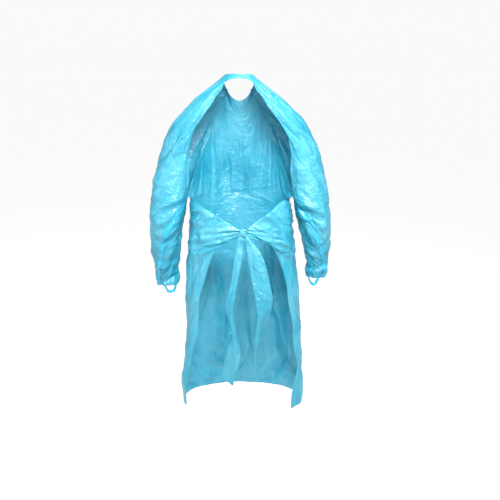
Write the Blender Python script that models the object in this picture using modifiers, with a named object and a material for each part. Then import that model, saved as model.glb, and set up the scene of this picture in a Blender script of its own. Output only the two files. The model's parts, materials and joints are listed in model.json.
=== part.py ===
"""Isolation gown of thin plastic film, worn pose, open at the back.

Metres, +Z up, the gown's front faces -Y and its open back faces +Y. The origin is the middle of the
shoulder line, at the base of the nape, where the gown hangs. The left sleeve is on the +X side.
"""
from collections import namedtuple
from math import cos, exp, pi, radians, sin

import bmesh
import bpy
import numpy as np
from mathutils import Vector

# Driving dimensions
FILM = 0.0015  # wall that stands for the film
STRIP_FILM = 0.001  # the weld strips, which lie on the sleeves
SEAM_GAP = 0.0005  # between two pieces at a weld
LIFT = 0.0005  # between a panel and what lies on it
NECK_HALF_WIDTH = 0.058
NECK_BACK_Y, NECK_FRONT_Y = 0.080, -0.092
NECK_BACK_Z, NECK_DROP = 0.024, 0.100  # the neckline falls this much from nape to throat
NECK_LEAN, HEM_LEAN = 0.0125, 0.003  # the gown's middle stands this far towards +X
LEAN_REACH = 0.9  # height below the nape over which the lean changes from one to the other
BAND_TURN, RAGLAN_TURN = 36, 128  # degrees round the neck from the nape: band end, front seam
BAND_COLUMNS = 12
BAND_BOW = 0.012  # the band's lower edge bows back this much between the sleeves
BAND_RISE, BAND_ARCH = 0.013, 2.5  # and arches up this much; a larger power gives a flatter arch
PINCH_TURN, PINCH_HALF, PINCH_DROP = -14, 7, 0.003  # dip in its top edge at the join
SLEEVE_COLUMNS = 23  # columns of points round a sleeve
PANEL_COLUMNS = 36
WELD_HALF = 0.020  # half width of the weld strip, as a share of the sleeve's girth
RIGHT_NARROWER = 0.08  # the right forearm is this share narrower than the left
RIGHT_CUFF_RISE = 0.030  # and its cuff sits this much higher
CHEST_SWELL = 0.9  # below 1, the chest comes forward sooner below the neck
RISE_TURN, RISE_BEND = 50, 1.3  # from this turn on, the panel's rows climb to their back edges
KNOT_X, KNOT_Y, KNOT_Z = -0.002, 0.134, -0.5455
KNOT_HALF_WIDTH, KNOT_HALF_DEPTH, KNOT_HALF_HEIGHT = 0.0162, 0.013, 0.019
KNOT_SQUARE, KNOT_WRAPS, KNOT_RIDGE = 0.75, 2, 0.16  # its corners, and the ridges on it
KNOT_SLANT = 0.5  # slope of the ridges
KNOT_LEFT_X, KNOT_RIGHT_X = 0.0142, -0.0182  # where the wings end, beside the knot
GATHER_DEPTH, GATHER_ROWS = 0.0021, 3.4  # pleats of each wing where it runs into the knot
GATHER_START, GATHER_SPAN = 0.70, 0.25  # where they begin and reach full depth, from middle to edge
LOOP_START, LOOP_END = 0.10, 0.30  # the thumb loop's ends, as shares round the cuff from the weld
LOOP_ROWS = 9
LOOP_GAP, LOOP_FALL, LOOP_IN, LOOP_WIDTH = 0.0008, 0.024, 0.006, 0.009

# Sleeve sections from the shoulder to the cuff, measured on the left arm. x and z are the outermost
# point, with x from the gown's middle; tilt turns the section from upright (0) to level (90). drop
# is half the section's height across that tilt, deep its reach to the back and to the front. turn
# is where the cloth ends, in degrees round from the outermost point, to the back and the front (-).
Section = namedtuple(
    "Section",
    "x z tilt y drop_back drop_front deep_back deep_front turn_back turn_front",
)
SHOULDER = [
    Section(0.083, 0.002, 33, 0.010, 0.040, 0.062, 0.078, 0.098, 87, -88),
    Section(0.119, -0.019, 38, 0.010, 0.052, 0.082, 0.084, 0.112, 91, -90),
    Section(0.150, -0.041, 42, 0.010, 0.062, 0.096, 0.088, 0.120, 95, -93),
    Section(0.177, -0.063, 44, 0.009, 0.066, 0.105, 0.089, 0.123, 98, -97),
    Section(0.204, -0.089, 48, 0.008, 0.068, 0.110, 0.089, 0.124, 100, -102),
    Section(0.233, -0.121, 53, 0.006, 0.070, 0.112, 0.088, 0.122, 104, -108),
    Section(0.260, -0.158, 60, 0.004, 0.072, 0.106, 0.086, 0.116, 109, -117),
    Section(0.284, -0.202, 67, 0.002, 0.074, 0.098, 0.084, 0.108, 116, -127),
    Section(0.303, -0.253, 72, 0.000, 0.076, 0.088, 0.082, 0.098, 126, -139),
    Section(0.318, -0.307, 76, 0.000, 0.0745, 0.080, 0.080, 0.089, 141, -151),
    Section(0.3295, -0.360, 80, 0.004, 0.071, 0.074, 0.078, 0.082, 159, -165),
    Section(0.337, -0.406, 83, 0.008, 0.0700, 0.0700, 0.077, 0.077, 180, -180),
]
ARM = [
    Section(0.342, -0.443, 86, 0.012, 0.0695, 0.0695, 0.074, 0.074, 152, -208),
    Section(0.345, -0.482, 88, 0.014, 0.0670, 0.0670, 0.071, 0.071, 126, -234),
    Section(0.3475, -0.529, 90, 0.012, 0.0620, 0.0620, 0.067, 0.067, 105, -255),
    Section(0.347, -0.576, 92, 0.004, 0.0580, 0.0580, 0.063, 0.063, 92, -268),
    Section(0.344, -0.623, 94, -0.008, 0.0535, 0.0535, 0.058, 0.058, 80, -280),
    Section(0.3395, -0.669, 96, -0.020, 0.0490, 0.0490, 0.052, 0.052, 67, -293),
    Section(0.335, -0.710, 97, -0.030, 0.0450, 0.0450, 0.047, 0.047, 54, -306),
    Section(0.3325, -0.745, 94, -0.037, 0.0455, 0.0455, 0.047, 0.047, 46, -314),
    Section(0.3275, -0.774, 92, -0.042, 0.0415, 0.0415, 0.046, 0.046, 42, -318),
]
ARMPIT_ROW = len(SHOULDER) + 1  # row of a sleeve's points where it closes under the arm
# The form that the front panel follows below the arms: its reach from the gown's middle
Torso = namedtuple("Torso", "z half_width front back")
TORSO = [
    Torso(-0.39, 0.188, 0.150, 0.112),
    Torso(-0.45, 0.191, 0.152, 0.124),
    Torso(-0.55, 0.202, 0.155, 0.133),
    Torso(-0.65, 0.2075, 0.160, 0.132),
    Torso(-0.77, 0.220, 0.167, 0.128),
    Torso(-0.90, 0.223, 0.174, 0.124),
    Torso(-1.05, 0.230, 0.181, 0.120),
    Torso(-1.15, 0.238, 0.184, 0.118),
    Torso(-1.25, 0.230, 0.182, 0.116),
]
# First and last row of the front panel between the sleeves: height and reach of its middle line,
# and the degrees that the row curves from there to the seam
Chest = namedtuple("Chest", "z front wrap")
CHEST_TOP = Chest(-0.076, 0.092, 52)
CHEST_BOTTOM = Chest(-0.430, 0.152, 86)
# Rows of the front panel below the armholes, from its middle line to its free back edges
Row = namedtuple("Row", "middle_z edge_z left_x right_x")
PANEL = [
    Row(-0.456, -0.437, 0.172, -0.143),
    Row(-0.480, -0.458, 0.142, -0.119),
    Row(-0.502, -0.480, 0.106, -0.091),
    Row(-0.524, -0.502, 0.067, -0.056),
    Row(-0.544, -0.521, 0.035, -0.032),
    Row(-0.562, -0.5300, KNOT_LEFT_X, KNOT_RIGHT_X),
    Row(-0.580, -0.5362, KNOT_LEFT_X, KNOT_RIGHT_X),
    Row(-0.598, -0.5424, KNOT_LEFT_X, KNOT_RIGHT_X),
    Row(-0.616, -0.5486, KNOT_LEFT_X, KNOT_RIGHT_X),
    Row(-0.634, -0.5548, KNOT_LEFT_X, KNOT_RIGHT_X),
    Row(-0.652, -0.5610, KNOT_LEFT_X, KNOT_RIGHT_X),
    Row(-0.672, -0.573, 0.044, -0.060),
    Row(-0.694, -0.594, 0.080, -0.101),
    Row(-0.722, -0.628, 0.106, -0.128),
    Row(-0.756, -0.675, 0.125, -0.144),
    Row(-0.798, -0.732, 0.143, -0.158),
    Row(-0.848, -0.799, 0.159, -0.172),
    Row(-0.906, -0.872, 0.165, -0.182),
    Row(-0.968, -0.944, 0.172, -0.191),
    Row(-1.030, -1.014, 0.187, -0.200),
    Row(-1.092, -1.083, 0.204, -0.206),
    Row(-1.148, -1.143, 0.214, -0.200),
    Row(-1.190, -1.196, 0.220, -0.186),
    Row(-1.222, -1.244, 0.222, -0.182),
]
# Tie tails from the knot down: middle, width, and turn of the strip about its length in degrees,
# then how many pleats run down each strip and how deep they are
Tail = namedtuple("Tail", "z x y width turn")
Pleats = namedtuple("Pleats", "count depth")
TAIL_LEFT = [
    Tail(-0.5652, 0.0060, 0.134, 0.015, 0),
    Tail(-0.590, 0.0085, 0.138, 0.026, 3),
    Tail(-0.635, 0.014, 0.141, 0.030, 8),
    Tail(-0.700, 0.024, 0.143, 0.028, 18),
    Tail(-0.760, 0.036, 0.143, 0.028, 10),
    Tail(-0.815, 0.047, 0.143, 0.032, -5),
    Tail(-0.872, 0.041, 0.143, 0.026, 10),
    Tail(-0.935, 0.034, 0.143, 0.034, 22),
    Tail(-1.000, 0.034, 0.143, 0.056, 12),
    Tail(-1.065, 0.043, 0.143, 0.056, -8),
    Tail(-1.125, 0.036, 0.143, 0.030, -14),
]
TAIL_RIGHT = [
    Tail(-0.5652, -0.0115, 0.134, 0.015, 0),
    Tail(-0.590, -0.0290, 0.138, 0.034, -4),
    Tail(-0.625, -0.044, 0.141, 0.056, -8),
    Tail(-0.680, -0.058, 0.143, 0.067, -6),
    Tail(-0.740, -0.071, 0.143, 0.069, 4),
    Tail(-0.800, -0.082, 0.143, 0.068, 10),
    Tail(-0.850, -0.080, 0.143, 0.054, 25),
    Tail(-0.900, -0.071, 0.143, 0.038, 40),
    Tail(-0.950, -0.062, 0.143, 0.038, 62),
    Tail(-1.010, -0.055, 0.143, 0.042, 80),
    Tail(-1.060, -0.059, 0.143, 0.040, 80),
    Tail(-1.100, -0.064, 0.143, 0.036, 78),
]
PLEATS_LEFT, PLEATS_RIGHT = Pleats(1.5, 0.005), Pleats(0.5, 0.004)
TAIL_COLUMNS = 7
# Largest creases: height, degrees round the section or the form, how the crease lies in degrees
# from upright, and its half length, half width and depth
Crease = namedtuple("Crease", "z turn lie half_length half_width depth")
SLEEVE_CREASES = [
    Crease(-0.425, 120, 70, 0.060, 0.017, -0.010),
    Crease(-0.462, 95, 60, 0.055, 0.017, 0.009),
    Crease(-0.505, 60, -55, 0.050, 0.018, -0.009),
    Crease(-0.548, 110, 50, 0.050, 0.017, -0.008),
    Crease(-0.592, 70, -50, 0.045, 0.017, 0.007),
    Crease(-0.640, 110, 45, 0.040, 0.016, -0.007),
    Crease(-0.690, 60, -60, 0.040, 0.016, -0.006),
    Crease(-0.440, -90, -65, 0.060, 0.018, -0.010),
    Crease(-0.480, -110, -55, 0.060, 0.018, 0.009),
    Crease(-0.520, -70, 60, 0.055, 0.018, -0.009),
    Crease(-0.600, -100, -50, 0.045, 0.017, -0.007),
    Crease(-0.670, -80, 50, 0.040, 0.016, -0.006),
]
PANEL_CREASES = [
    Crease(-0.90, -118, -6, 0.22, 0.026, -0.009),
    Crease(-1.00, -88, 5, 0.24, 0.030, 0.010),
    Crease(-1.02, -62, -4, 0.24, 0.030, -0.011),
    Crease(-0.98, -38, 5, 0.28, 0.030, 0.012),
    Crease(-1.04, -14, 3, 0.26, 0.030, -0.012),
    Crease(-0.98, 10, -4, 0.28, 0.030, 0.012),
    Crease(-1.03, 34, 5, 0.26, 0.030, -0.011),
    Crease(-0.99, 60, -4, 0.24, 0.030, 0.011),
    Crease(-1.02, 86, 4, 0.24, 0.030, -0.010),
    Crease(-0.92, 112, 6, 0.22, 0.026, 0.009),
    Crease(-0.30, -16, 24, 0.12, 0.030, -0.009),
    Crease(-0.34, 22, -28, 0.12, 0.030, 0.008),
]
CREASE_TAPER, HEM_CREASE = 0.05, 0.4  # creases fade over this length, to this share at the hem
EDGE_POWER = 8  # how late they fade towards the panel's side edges
CREASE_SHIFT = 0.018  # the right sleeve's creases sit this much lower
ARM_RADIUS, TORSO_RADIUS = 0.060, 0.205  # for the width of a crease round the form

FILM_BLUE, FILM_ROUGHNESS = (0.22, 0.66, 0.86), 0.25
WELD_BLUE, WELD_ROUGHNESS = (0.03, 0.36, 0.62), 0.3


def film_material(name, colour, roughness):
    """Glossy tinted film."""
    material = bpy.data.materials.new(name)
    material.use_nodes = True
    shader = material.node_tree.nodes["Principled BSDF"]
    shader.inputs["Base Color"].default_value = (*colour, 1)
    shader.inputs["Roughness"].default_value = roughness
    material.diffuse_color = (*colour, 1)
    return material


def lean(z):
    """How far the gown's middle stands towards +X at a height."""
    return HEM_LEAN + (NECK_LEAN - HEM_LEAN) * min(max(1 + (z - NECK_BACK_Z) / LEAN_REACH, 0), 1)


def smooth(keys, values, at):
    """A table's value at one key, by a cubic through the rows on both sides."""
    keys = list(keys)
    at = min(max(at, min(keys)), max(keys))
    last = len(keys) - 1
    rising = keys[-1] > keys[0]
    i = 0
    while i < last - 1 and (at > keys[i + 1]) == rising and at != keys[i + 1]:
        i += 1
    share = (at - keys[i]) / (keys[i + 1] - keys[i])

    def slope(k):
        low, high = max(k - 1, 0), min(k + 1, last)
        return (values[high] - values[low]) / (keys[high] - keys[low]) * (keys[i + 1] - keys[i])

    a, b = values[i], values[i + 1]
    return (
        a * (2 * share**3 - 3 * share**2 + 1)
        + slope(i) * (share**3 - 2 * share**2 + share)
        + b * (3 * share**2 - 2 * share**3)
        + slope(i + 1) * (share**3 - share**2)
    )


def neckline(turn, side):
    """A point of the neckline, turn degrees from the nape towards the throat on one side."""
    angle = radians(turn)
    fall = ((1 - cos(angle)) / 2) ** 2.5
    middle_y = (NECK_BACK_Y + NECK_FRONT_Y) / 2
    reach_y = (NECK_BACK_Y - NECK_FRONT_Y) / 2
    return np.array([
        NECK_LEAN + side * NECK_HALF_WIDTH * sin(angle),
        middle_y + reach_y * cos(angle),
        NECK_BACK_Z - NECK_DROP * fall,
    ])


def section_point(section, turn, side, narrow, rise):
    """A point of one sleeve section, turn degrees round it from the outermost point."""
    angle, tilt = radians(turn), radians(section.tilt)
    outward = np.array([sin(tilt), 0, cos(tilt)])
    drop = section.drop_back if turn > 0 else section.drop_front
    deep = section.deep_back if turn > 0 else section.deep_front
    outermost = np.array([section.x, section.y, section.z + rise])
    x, y, z = outermost + drop * ((1 - narrow) * cos(angle) - 1) * outward
    return np.array([lean(z) + side * x, y + deep * sin(angle), z])


def column_shares():
    """Shares round a sleeve, with a column at each edge of the weld strip."""
    inner = np.linspace(WELD_HALF, 1 - WELD_HALF, SLEEVE_COLUMNS - 2)
    return np.array([0, *inner, 1])


def crease_depth(creases, z, turn, radius):
    """Sum of the soft troughs and ridges at a height and a turn round a form of about one radius."""
    depth = 0.0
    for c in creases:
        lie = radians(c.lie)
        down = z - c.z
        around = radians((turn - c.turn + 180) % 360 - 180) * radius
        run = down * cos(lie) + around * sin(lie)
        off = around * cos(lie) - down * sin(lie)
        depth += c.depth * exp(-((run / c.half_length) ** 2) - (off / c.half_width) ** 2)
    return depth


def refined(table, kind):
    """A table with a row worked out between each two of its own."""
    steps = range(2 * len(table) - 1)
    columns = [[smooth(range(len(table)), values, k / 2) for k in steps] for values in zip(*table)]
    return [kind(*values) for values in zip(*columns)]


def sleeve_points(side):
    """Rows of points from the neckline to the cuff, each from the front seam round to the back edge."""
    shares = column_shares()
    rows = [[neckline(turn, side) for turn in RAGLAN_TURN + (BAND_TURN - RAGLAN_TURN) * shares]]
    all_turns = [0 * shares, 0 * shares]
    arm = refined([SHOULDER[-1], *ARM], Section)[1:]
    for k, section in enumerate(SHOULDER + arm):
        below = max(k - len(SHOULDER) + 1, 0) / len(arm)
        narrow = 0 if side > 0 else RIGHT_NARROWER * min(2 * below, 1)
        rise = 0 if side > 0 else RIGHT_CUFF_RISE * below**2
        turns = section.turn_front + (section.turn_back - section.turn_front) * shares
        rows.append([section_point(section, turn, side, narrow, rise) for turn in turns])
        all_turns.append(turns)
    halfway = [(a + b) / 2 for a, b in zip(rows[0], rows[1])]
    rows.insert(1, halfway)
    return np.array(rows), np.array(all_turns)


def add_object(name, vertices, faces, wall, material):
    """An open surface with a wall of even thickness."""
    mesh = bpy.data.meshes.new(name)
    mesh.from_pydata([tuple(v) for v in vertices], [], faces)
    bm = bmesh.new()
    bm.from_mesh(mesh)
    bmesh.ops.recalc_face_normals(bm, faces=bm.faces)
    bm.to_mesh(mesh)
    bm.free()
    mesh.shade_smooth()
    mesh.materials.append(material)
    piece = bpy.data.objects.new(name, mesh)
    gown.objects.link(piece)
    solid = piece.modifiers.new("wall", "SOLIDIFY")
    solid.thickness = wall
    solid.offset = 0


def grid_faces(points, joined_from=None):
    """Triangles of a grid, each square split the shorter way.

    From one row on, the last column is the first.
    """
    rows, columns = points.shape[:2]
    flat = points.reshape(-1, 3)

    def index(i, j):
        joined = joined_from is not None and i >= joined_from and j == columns - 1
        return i * columns + (0 if joined else j)

    faces = []
    for i in range(rows - 1):
        for j in range(columns - 1):
            a, b, c, d = index(i, j), index(i, j + 1), index(i + 1, j + 1), index(i + 1, j)
            if np.linalg.norm(flat[a] - flat[c]) < np.linalg.norm(flat[b] - flat[d]):
                faces += [(a, b, c), (a, c, d)]
            else:
                faces += [(a, b, d), (b, c, d)]
    return faces


def grid_normals(points, joined_from=None):
    """Unit normals of a grid's points."""
    down = np.gradient(points, axis=0)
    across = np.gradient(points, axis=1)
    if joined_from is not None:
        across[joined_from:, 0] = points[joined_from:, 1] - points[joined_from:, -2]
        across[joined_from:, -1] = across[joined_from:, 0]
    normal = np.cross(across, down)
    return normal / np.linalg.norm(normal, axis=2, keepdims=True)


def add_grid(name, points, wall, material, joined_from=None):
    """One piece of film from a grid of points."""
    faces = grid_faces(points, joined_from)
    used = sorted({i for face in faces for i in face})
    place = {old: new for new, old in enumerate(used)}
    faces = [tuple(place[i] for i in face) for face in faces]
    add_object(name, points.reshape(-1, 3)[used], faces, wall, material)


def build_sleeve(side, name):
    """One sleeve. Returns its points for the pieces that meet it."""
    points, turns = sleeve_points(side)
    normal = grid_normals(points, ARMPIT_ROW) * side
    top, bottom = SHOULDER[-1].z, ARM[-1].z
    lower = CREASE_SHIFT if side < 0 else 0
    for i in range(ARMPIT_ROW + 1, len(points)):
        for j, turn in enumerate(turns[i]):
            z = points[i, j, 2]
            fade = min((top - z) / CREASE_TAPER, (z - bottom) / CREASE_TAPER, 1)
            depth = crease_depth(SLEEVE_CREASES, z + lower, turn, ARM_RADIUS)
            points[i, j] += normal[i, j] * depth * max(fade, 0)
    add_grid(name, points, FILM, film, joined_from=ARMPIT_ROW)
    return points


def build_weld_strip(points, side, name):
    """The doubled film along the underarm weld, from the sleeve's own points, moved out."""
    lift = FILM / 2 + LIFT + STRIP_FILM / 2
    lifted = points + grid_normals(points, ARMPIT_ROW) * side * lift
    add_grid(name, lifted[ARMPIT_ROW + 1 :, (-2, 0, 1)], STRIP_FILM, weld)


def torso_point(z, turn, side):
    """A point on the form below the arms, turn degrees from its front."""
    keys = [t.z for t in TORSO]
    half = smooth(keys, [t.half_width for t in TORSO], z)
    front = smooth(keys, [t.front for t in TORSO], z)
    back = smooth(keys, [t.back for t in TORSO], z)
    angle = radians(turn)
    reach = front if turn < 90 else back
    return np.array([lean(z) + side * half * sin(angle), -reach * cos(angle), z])


def edge_turn(row, side):
    """How far round the form a row of the front panel reaches, in degrees from the front."""
    half = smooth([t.z for t in TORSO], [t.half_width for t in TORSO], row.edge_z)
    reach = abs((row.left_x if side > 0 else row.right_x) - lean(row.edge_z))
    return 180 - np.degrees(np.arcsin(min(reach / half, 1)))


def chest_half_row(seam, middle, side_shares):
    """Half a row of the front panel above the armhole, from its middle to the sleeve seam."""
    wrap = radians(middle.wrap)
    x_middle = lean(middle.z)
    half = []
    for share in side_shares:
        angle = share * wrap
        x = x_middle + (seam[0] - x_middle) * sin(angle) / sin(wrap)
        y = seam[1] + (-middle.front - seam[1]) * (cos(angle) - cos(wrap)) / (1 - cos(wrap))
        z = middle.z + (seam[2] - middle.z) * share**2
        half.append(np.array([x, y, z]))
    return half


def panel_half_row(row, side, side_shares):
    """Half a row of the front panel below the armhole, from its middle to its back edge."""
    last_turn = edge_turn(row, side)
    half = []
    for turn in last_turn * side_shares:
        rise = max((turn - RISE_TURN) / (last_turn - RISE_TURN), 0) ** RISE_BEND
        half.append(torso_point(row.middle_z + (row.edge_z - row.middle_z) * rise, turn, side))
    return half


def unit(vector):
    return vector / np.linalg.norm(vector)


def seam_shift(along, onward):
    """How an edge moves off its seam, where its film runs along and the other piece's runs onward."""
    along, onward = unit(along), unit(onward)
    bend = pi - np.arccos(np.clip(np.dot(along, onward), -1, 1))
    return unit(along - onward) * (SEAM_GAP + FILM * sin(bend / 2))


def build_front_panel(left_seam, right_seam):
    """The front of the gown with the two wings that run to the knot."""
    side_shares = np.linspace(0, 1, PANEL_COLUMNS // 2 + 1)
    rows = []
    last = len(left_seam) - 1
    for i in range(last + 1):
        share = i / last
        swell = sin(share * pi / 2) ** CHEST_SWELL
        middle = Chest(
            CHEST_TOP.z + (CHEST_BOTTOM.z - CHEST_TOP.z) * share,
            CHEST_TOP.front + (CHEST_BOTTOM.front - CHEST_TOP.front) * swell,
            CHEST_TOP.wrap + (CHEST_BOTTOM.wrap - CHEST_TOP.wrap) * share,
        )
        left = chest_half_row(left_seam[i, 0], middle, side_shares)
        right = chest_half_row(right_seam[i, 0], middle, side_shares)
        rows.append(right[:0:-1] + left)
    for row in PANEL:
        left, right = (panel_half_row(row, side, side_shares) for side in (1, -1))
        rows.append(right[:0:-1] + left)
    points = np.array(rows)
    normal = -grid_normals(points)
    knot_rows = [last + 1 + k for k, row in enumerate(PANEL) if row.left_x == KNOT_LEFT_X]
    middle_row = sum(knot_rows) / len(knot_rows)
    for i in range(2, len(points) - 1):
        near_knot = exp(-(((i - middle_row) / GATHER_ROWS) ** 2))
        pleat = GATHER_DEPTH * (1 if (i - knot_rows[0]) % 2 else -1)
        for j in range(points.shape[1]):
            x, y, z = points[i, j]
            reach = abs(2 * j / (points.shape[1] - 1) - 1)
            turn = np.degrees(np.arctan2(x - lean(z), -y))
            hem_fade = min((z - points[-1, j, 2]) / CREASE_TAPER + HEM_CREASE, 1)
            depth = crease_depth(PANEL_CREASES, z, turn, TORSO_RADIUS)
            gathered = min(max((reach - GATHER_START) / GATHER_SPAN, 0), 1)
            depth = depth * (1 - reach**EDGE_POWER) * hem_fade + pleat * near_knot * gathered
            points[i, j] += normal[i, j] * depth
    for i in range(len(points)):
        for edge, inner, seam in ((0, 1, right_seam), (-1, -2, left_seam)):
            along = points[i, inner] - points[i, edge]
            onward = seam[i, 1] - seam[i, 0] if i <= last else -along
            points[i, edge] += seam_shift(along, onward)
    add_grid("front_panel", points, FILM, film)


def build_nape_band(left_edge, right_edge):
    """The narrow band behind the neck, between the tops of the two sleeves."""
    top, low = [], []
    for mix in np.linspace(0, 1, BAND_COLUMNS + 1):
        turn = BAND_TURN * (2 * mix - 1)
        pinch = PINCH_DROP * exp(-(((turn - PINCH_TURN) / PINCH_HALF) ** 2))
        bow = BAND_BOW * (1 - (2 * mix - 1) ** 2)
        rise = BAND_RISE * (1 - abs(2 * mix - 1) ** BAND_ARCH)
        top.append(neckline(abs(turn), 1 if turn > 0 else -1) - np.array([0, 0, pinch]))
        low.append(right_edge[1] * (1 - mix) + left_edge[1] * mix + np.array([0, bow, rise]))
    points = np.array([top, (np.array(top) + np.array(low)) / 2, low])
    for row in points:
        for edge, inner in ((0, 1), (-1, -2)):
            along = row[inner] - row[edge]
            row[edge] += seam_shift(along, -along)
    add_grid("nape_band", points, FILM, film)


def build_tail(name, table, pleats):
    """One hanging tie end, a strip of film with lengthwise folds."""
    keys = [t.z for t in table]
    rows = []
    for height in np.linspace(keys[0], keys[-1], 2 * len(table)):
        at = Tail(*(smooth(keys, values, height) for values in zip(*table)))
        angle = radians(at.turn)
        row = []
        for share in np.linspace(-0.5, 0.5, TAIL_COLUMNS):
            side = at.width * share
            out = pleats.depth * cos(2 * pi * pleats.count * share)
            x = at.x + side * cos(angle) - out * sin(angle)
            y = at.y + side * sin(angle) + out * cos(angle)
            row.append((x, y, height))
        rows.append(row)
    add_grid(name, np.array(rows), FILM, film)


def build_knot():
    """The tie's knot: a tight squarish lump with the wraps of film as ridges."""
    mesh = bpy.data.meshes.new("tie_knot")
    bm = bmesh.new()
    bmesh.ops.create_uvsphere(bm, u_segments=24, v_segments=14, radius=1)
    for vertex in bm.verts:
        x, y, z = vertex.co
        ridge = 1 + KNOT_RIDGE * cos(KNOT_WRAPS * pi * (z + KNOT_SLANT * x))
        squared = [abs(c) ** KNOT_SQUARE * (1 if c > 0 else -1) for c in (x, y * ridge, z)]
        vertex.co = Vector((
            squared[0] * KNOT_HALF_WIDTH,
            squared[1] * KNOT_HALF_DEPTH,
            squared[2] * KNOT_HALF_HEIGHT,
        ))
    bm.to_mesh(mesh)
    bm.free()
    mesh.shade_smooth()
    mesh.materials.append(film)
    knot = bpy.data.objects.new("tie_knot", mesh)
    knot.location = (KNOT_X, KNOT_Y, KNOT_Z)
    gown.objects.link(knot)


def build_thumb_loop(cuff, name):
    """A loop of film below the cuff, for the thumb."""
    ring = cuff[:-1]
    middle = ring.mean(axis=0)
    rows = []
    for share in np.linspace(0, 1, LOOP_ROWS):
        around = (LOOP_START + (LOOP_END - LOOP_START) * share) * (len(ring) - 1)
        low = int(around)
        mix = around - low
        base = ring[low] * (1 - mix) + ring[low + 1] * mix
        top = base + unit(middle - base) * LOOP_IN * sin(pi * share)
        top[2] -= LOOP_GAP + LOOP_FALL * sin(pi * share)
        rows.append((top, top - np.array([0, 0, LOOP_WIDTH])))
    add_grid(name, np.array(rows), STRIP_FILM, weld)


for old in list(bpy.data.objects):
    bpy.data.objects.remove(old, do_unlink=True)
gown = bpy.data.collections.new("isolation gown")
bpy.context.scene.collection.children.link(gown)
film = film_material("blue film", FILM_BLUE, FILM_ROUGHNESS)
weld = film_material("welded film", WELD_BLUE, WELD_ROUGHNESS)

left = build_sleeve(1, "sleeve_left")
right = build_sleeve(-1, "sleeve_right")
build_weld_strip(left, 1, "seam_strip_left")
build_weld_strip(right, -1, "seam_strip_right")
build_front_panel(left[: ARMPIT_ROW + 1, :2], right[: ARMPIT_ROW + 1, :2])
build_nape_band(left[:, -1], right[:, -1])
build_tail("tie_tail_left", TAIL_LEFT, PLEATS_LEFT)
build_tail("tie_tail_right", TAIL_RIGHT, PLEATS_RIGHT)
build_knot()
build_thumb_loop(left[-1], "thumb_loop_left")
build_thumb_loop(right[-1], "thumb_loop_right")
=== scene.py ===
import json
from math import cos, pi, radians, sin

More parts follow.
